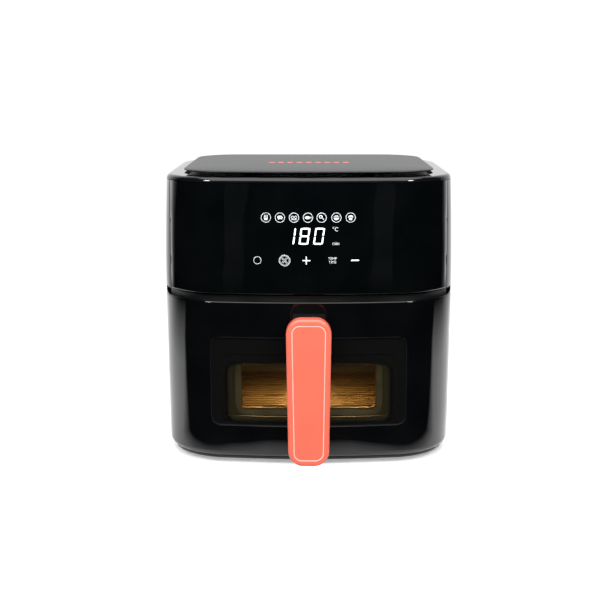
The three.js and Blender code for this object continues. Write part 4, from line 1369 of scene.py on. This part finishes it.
@dataclass
class Handle(SubAssembly):
    """The upright coral grip: a rounded shell with an inlaid cover and a bead between them, painted pale as a
    highlight.
    """

    side_border: float = 5.2 * MM
    top_border: float = 5.8 * MM
    corner: float = 14 * MM
    least_corner: float = 2 * MM
    taper: float = 37.5 / 41
    groove: float = 0.45 * MM
    edge: float = 2.4 * MM
    cover_edge: float = 0.7 * MM
    bead_radius: float = 0.5 * MM

    def outline(self, inset: float, top_inset: float) -> Loop:
        """Gives the grip's outline drawn in by an inset.

        Args:
            inset: how far the sides and the foot draw in.
            top_inset: how far the top draws in.

        Returns:
            The outline's points.
        """
        low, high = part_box("handle_grip")
        half_top, half_low = high.x, high.x * self.taper
        radius = max(self.corner - 1.3 * inset, self.least_corner)
        return rounded_outline(half_top - inset, half_low - inset, low.z + inset, high.z - top_inset, radius)

    def rings(self, profile: Sequence[tuple[float, float]]) -> list[list[tuple[float, float, float]]]:
        """Gives the rings of a skin, whose top draws in further as the inset nears the border.

        Args:
            profile: pairs of inset and depth.

        Returns:
            One ring for each pair.
        """
        made = []
        for inset, depth in profile:
            extra = (self.top_border - self.side_border) * min(inset / self.side_border, 1)
            made.append([(x, depth, z) for x, z in self.outline(inset, inset + extra)])
        return made

    def build(self) -> None:
        """Makes the grip, its cover and the bead between them, which is painted pale as a highlight."""
        low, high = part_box("handle_grip")
        front, back = low.y, high.y
        arc = [(self.edge * (1 - math.sin(a)), self.edge * (1 - math.cos(a))) for a in quarter(6)]
        inner, floor = self.side_border, front + 1.7 * MM
        profile = [(inner + 6 * MM, floor), (inner + 0.2 * MM, floor), (inner, front + 1.5 * MM),
                   (inner, front + 0.5 * MM), (inner - 0.5 * MM, front)]
        profile += [(inset, front + depth) for inset, depth in arc]
        profile += [(inset, back - depth) for inset, depth in reversed(arc)]
        grip = flattened(object_of("grip_shell", ring_stack("grip_shell", self.rings(profile)), CORAL))
        self.settle(grip, "drawer", "handle_plastic", "handle_grip")
        side, soft = inner + self.groove, self.cover_edge
        shoulder = front + 0.2 * MM + soft
        profile = [(side, front + 1.4 * MM), (side, shoulder)]
        profile += [(side + soft * (1 - math.cos(a)), shoulder - soft * math.sin(a)) for a in quarter(4)[1:]]
        cover = flattened(object_of("grip_cover", ring_stack("grip_cover", self.rings(profile)), CORAL))
        self.settle(cover, "drawer", "handle_cover_plastic", "handle_cover")
        # The bead's pale colour is a painted highlight along the groove between the cover and the grip.
        line = [(x, z) for x, _, z in self.rings([(inner + 0.25 * MM, front)])[0]]
        wire = bead("grip_bead", line, [front + 0.52 * MM] * len(line), self.bead_radius)
        self.settle(object_of("grip_bead", wire, CORAL_HIGHLIGHT_BEAD), "drawer", "handle_cover_plastic")


@dataclass
class CrisperPlate(SubAssembly):
    """The lift-out plate with its raised ridges and silicone bumpers."""

    ridges: int = 21
    ridge_radius: float = 0.9 * MM
    ridge_margin: float = 11 * MM
    ridge_short: float = 46 * MM
    step_radius: float = 1.8 * MM
    step_back: float = 42 * MM
    step_short: float = 30 * MM

    def build(self) -> None:
        """Dresses the plate and adds ridges and a step across it."""
        bumpers = [f"bumper_{end}_{side}" for end in ("front", "rear") for side in ("left", "right")]
        self.smooth(["crisper_plate", *bumpers], "plate")
        low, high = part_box("crisper_plate")
        width, span = high.x - low.x, high.y - low.y - 2 * self.ridge_margin
        start = Vector((0, low.y + self.ridge_margin, high.z + 0.35 * self.ridge_radius))
        pitch = Vector((0, span / (self.ridges - 1), 0))
        length = width - self.ridge_short
        row = bar_row("plate_ridges", start, self.ridges, pitch, length, self.ridge_radius, PLATE_COAT)
        self.settle(row, "plate", "plate_coating")
        back = Vector((0, high.y - self.step_back, high.z + 0.9 * MM))
        step = bar_row("plate_step", back, 1, pitch, width - self.step_short, self.step_radius, GOLD)
        self.settle(step, "plate", "plate_coating")


@dataclass
class HeaterAndFan(SubAssembly):
    """The heater chamber with its element, guard, fan wheels and motor."""

    def build(self) -> None:
        """Dresses the heater, the fan and the motor."""
        self.smooth([
            "chamber_dish", "heating_element", "element_guard", "motor_stator", "temperature_sensor",
        ], "housing")
        self.smooth(["rotor_shaft", "convection_fan", "cooling_fan"], "fan")
        self.dress(["fan_nut", "motor_bracket", "thermal_cutout"])


@dataclass
class Electronics(SubAssembly):
    """Boards, keys, lamp and drawer switch."""

    def build(self) -> None:
        """Dresses the boards, springs, lamp and switch."""
        springs = [f"touch_spring_{number}" for number in range(1, 6)]
        self.dress(["control_board", "display_module", "power_board", "relay", "transformer", *springs,
                    "lamp_holder", "lamp_bulb", "lamp_lens", "drawer_switch", "switch_plunger"])


# ---------------------------------------------------------------- studio


@dataclass
class Studio:
    """A white table that fades out, soft lights and the camera."""

    table_glow: float = 0.3
    table_reach: float = 4.0
    camera_y: float = -1255 * MM
    camera_height: float = 370 * MM
    camera_pitch: float = 10.38
    lens: float = 74.55
    shift_x: float = -0.0145
    white: tuple[float, float, float, float] = (1, 1, 1, 1)
    top_watts: float = 30.0
    fill_watts: float = 60.0
    key_watts: float = 16.0
    lamp_watts: float = 0.47
    glow_watts: float = 0.019
    sill_watts: float = 0.009
    lamp_x: float = 46 * MM
    lamp_front: float = 38 * MM
    lamp_below: float = 37 * MM
    amber: tuple[float, float, float] = (1.0, 0.62, 0.28)
    olive: tuple[float, float, float] = (1.0, 0.98, 0.82)

    def build(self) -> None:
        """Makes the table, the lights, the surroundings and the camera, and shows colours plainly."""
        bpy.context.scene.view_settings.view_transform = "Standard"
        self.table()
        self.surroundings()
        self.lights()
        self.camera()

    def camera(self) -> None:
        """Makes the camera."""
        data = bpy.data.cameras.new("camera")
        data.lens, data.sensor_width, data.shift_x = self.lens, 36.0, self.shift_x
        made = bpy.data.objects.new("camera", data)
        made.location = (0, self.camera_y, self.camera_height)
        made.rotation_euler = (math.radians(90 - self.camera_pitch), 0, 0)
        bpy.context.scene.collection.objects.link(made)
        bpy.context.scene.camera = made

    def table(self) -> None:
        """Makes the pale table, which fades out away from the appliance and close in front of it."""
        reach = self.table_reach
        corners = [(-reach, -reach, 0), (reach, -reach, 0), (reach, reach, 0), (-reach, reach, 0)]
        mesh = bpy.data.meshes.new("table")
        mesh.from_pydata(corners, [], [(0, 1, 2, 3)])
        made = bpy.data.objects.new("table", mesh)
        bpy.context.scene.collection.objects.link(made)
        material = bpy.data.materials.new("table_white_laminate")
        material.use_nodes = True
        tree = material.node_tree
        shader = tree.nodes["Principled BSDF"]
        for label, value in {
            "Base Color": linear("#f8f8f8"), "Roughness": 0.6, "Specular IOR Level": 0.0,
            "Emission Color": self.white, "Emission Strength": self.table_glow,
        }.items():
            shader.inputs[label].default_value = value
        place = add(tree, "ShaderNodeTexCoord").outputs["Object"]
        parts = add(tree, "ShaderNodeSeparateXYZ", {}, {0: place}).outputs
        side = add(tree, "ShaderNodeMath", {"operation": "ABSOLUTE"}, {0: parts["X"]}).outputs[0]
        edge = add(tree, "ShaderNodeMapRange", {1: 0.05, 2: 0.2, 3: -0.162, 4: -0.088}, {0: side}).outputs[0]
        past = add(tree, "ShaderNodeMath", {"operation": "SUBTRACT"}, {0: parts["Y"], 1: edge}).outputs[0]
        fade = None
        for value, start, end in ((past, -0.02, 0.02), (side, 1.0, 0.5), (parts["Y"], 1.0, 0.5)):
            part = add(tree, "ShaderNodeMapRange", {1: start, 2: end, 3: 0.0, 4: 1.0}, {0: value}).outputs[0]
            if fade is not None:
                part = add(tree, "ShaderNodeMath", {"operation": "MULTIPLY"}, {0: fade, 1: part}).outputs[0]
            fade = part
        tree.links.new(fade, shader.inputs["Alpha"])
        mesh.materials.append(material)

    def surroundings(self) -> None:
        """Makes the room: white to the eye and behind the appliance, dark in front but for faint cards."""
        world = bpy.data.worlds.new("studio")
        bpy.context.scene.world = world
        world.use_nodes = True
        tree = world.node_tree
        tree.nodes.clear()
        way = add(tree, "ShaderNodeTexCoord").outputs["Generated"]
        parts = add(tree, "ShaderNodeSeparateXYZ", {}, {0: way}).outputs
        values = {1: 0.36, 2: 0.75, 3: 0.004, 4: 1.0}
        behind = add(tree, "ShaderNodeMapRange", values, {0: parts["Y"]}).outputs[0]
        side = add(tree, "ShaderNodeMath", {"operation": "ABSOLUTE"}, {0: parts["X"]}).outputs[0]
        lean = add(tree, "ShaderNodeMath", {"operation": "DIVIDE"}, {0: side, 1: parts["Y"]}).outputs[0]
        card = add(tree, "ShaderNodeMath", {"operation": "COMPARE", 1: -0.31, 2: 0.045}, {0: lean}).outputs[0]
        values = {1: -0.17, 2: -0.14, 3: 0.0, 4: 0.05}
        high = add(tree, "ShaderNodeMapRange", values, {0: parts["Z"]}).outputs[0]
        card = add(tree, "ShaderNodeMath", {"operation": "MULTIPLY"}, {0: card, 1: high}).outputs[0]
        light = add(tree, "ShaderNodeMath", {"operation": "ADD"}, {0: behind, 1: card}).outputs[0]
        room = add(tree, "ShaderNodeBackground", {"Color": self.white}, {"Strength": light})
        seen = add(tree, "ShaderNodeBackground", {"Color": self.white, "Strength": 1.05})
        path = add(tree, "ShaderNodeLightPath")
        both = add(tree, "ShaderNodeMixShader", {}, {
            0: path.outputs["Is Camera Ray"], 1: room.outputs[0], 2: seen.outputs[0],
        })
        add(tree, "ShaderNodeOutputWorld", {}, {"Surface": both.outputs[0]})

    def lights(self) -> None:
        """Makes the softboxes, and the warm light in and in front of the pan."""
        self.softbox("top_softbox", (0, -0.35, 1.5), (0, -0.1, 0), (1.8, 1.8), self.top_watts, True)
        self.softbox("front_fill", (0, -2.2, 1.1), (0, 0, 0.12), (2.0, 2.0), self.fill_watts, False)
        low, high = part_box("pan")
        for side in (-1, 1):
            place = (side * 1.5, -1.35, 1.7)
            self.softbox(f"side_key_{side + 2}", place, (0, 0, 0.2), (0.35, 0.35), self.key_watts, True)
            spot = (side * self.lamp_x, (low.y + high.y) / 2 - self.lamp_front, high.z - self.lamp_below)
            aim = (spot[0], spot[1] - 8 * MM, low.z)
            name = f"cavity_lamp_{side + 2}"
            self.softbox(name, spot, aim, (0.03, 0.03), self.lamp_watts, True, self.amber)
        glow = Vector((0, low.y - 11 * MM, low.z + 46 * MM))
        aim = glow + Vector((0, 1, 0))
        self.softbox("window_glow", glow, aim, (0.17, 0.075), self.glow_watts, False, self.olive)
        sill = Vector((0, low.y - 3 * MM, low.z + 44 * MM))
        aim = sill - Vector((0, 0, 1))
        self.softbox("sill_glow", sill, aim, (0.125, 0.004), self.sill_watts, False, self.amber)

    def softbox(
        self, name: str, place: Place, target: Place, size: Point, power: float, mirrored: bool,
        colour: Place = (1, 1, 1),
    ) -> None:
        """Makes an area light that faces a target.

        Args:
            name: the light's name.
            place: its middle.
            target: where it points.
            size: its sides.
            power: watts.
            mirrored: whether gloss reflects it.
            colour: linear colour.
        """
        data = bpy.data.lights.new(name, "AREA")
        data.shape, data.size, data.size_y = "RECTANGLE", size[0], size[1]
        data.energy, data.color = power, colour
        made = bpy.data.objects.new(name, data)
        made.location = place
        made.rotation_euler = (Vector(target) - Vector(place)).to_track_quat("-Z", "Y").to_euler()
        made.visible_glossy = mirrored
        bpy.context.scene.collection.objects.link(made)


# ---------------------------------------------------------------- main


def main() -> None:
    """Builds every sub-assembly and the studio."""
    logging.basicConfig(level=logging.INFO, format="%(message)s")
    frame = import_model()
    slots = {entry["node"]: entry["material_slot"] for entry in frame["record"]["subparts"]}
    for kind in (Housing, ControlMarks, Drawer, Handle, CrisperPlate, HeaterAndFan, Electronics):
        log.info("building %s", kind.__name__)
        kind(frame, slots).build()
    Studio().build()


if __name__ == "__main__":
    main()
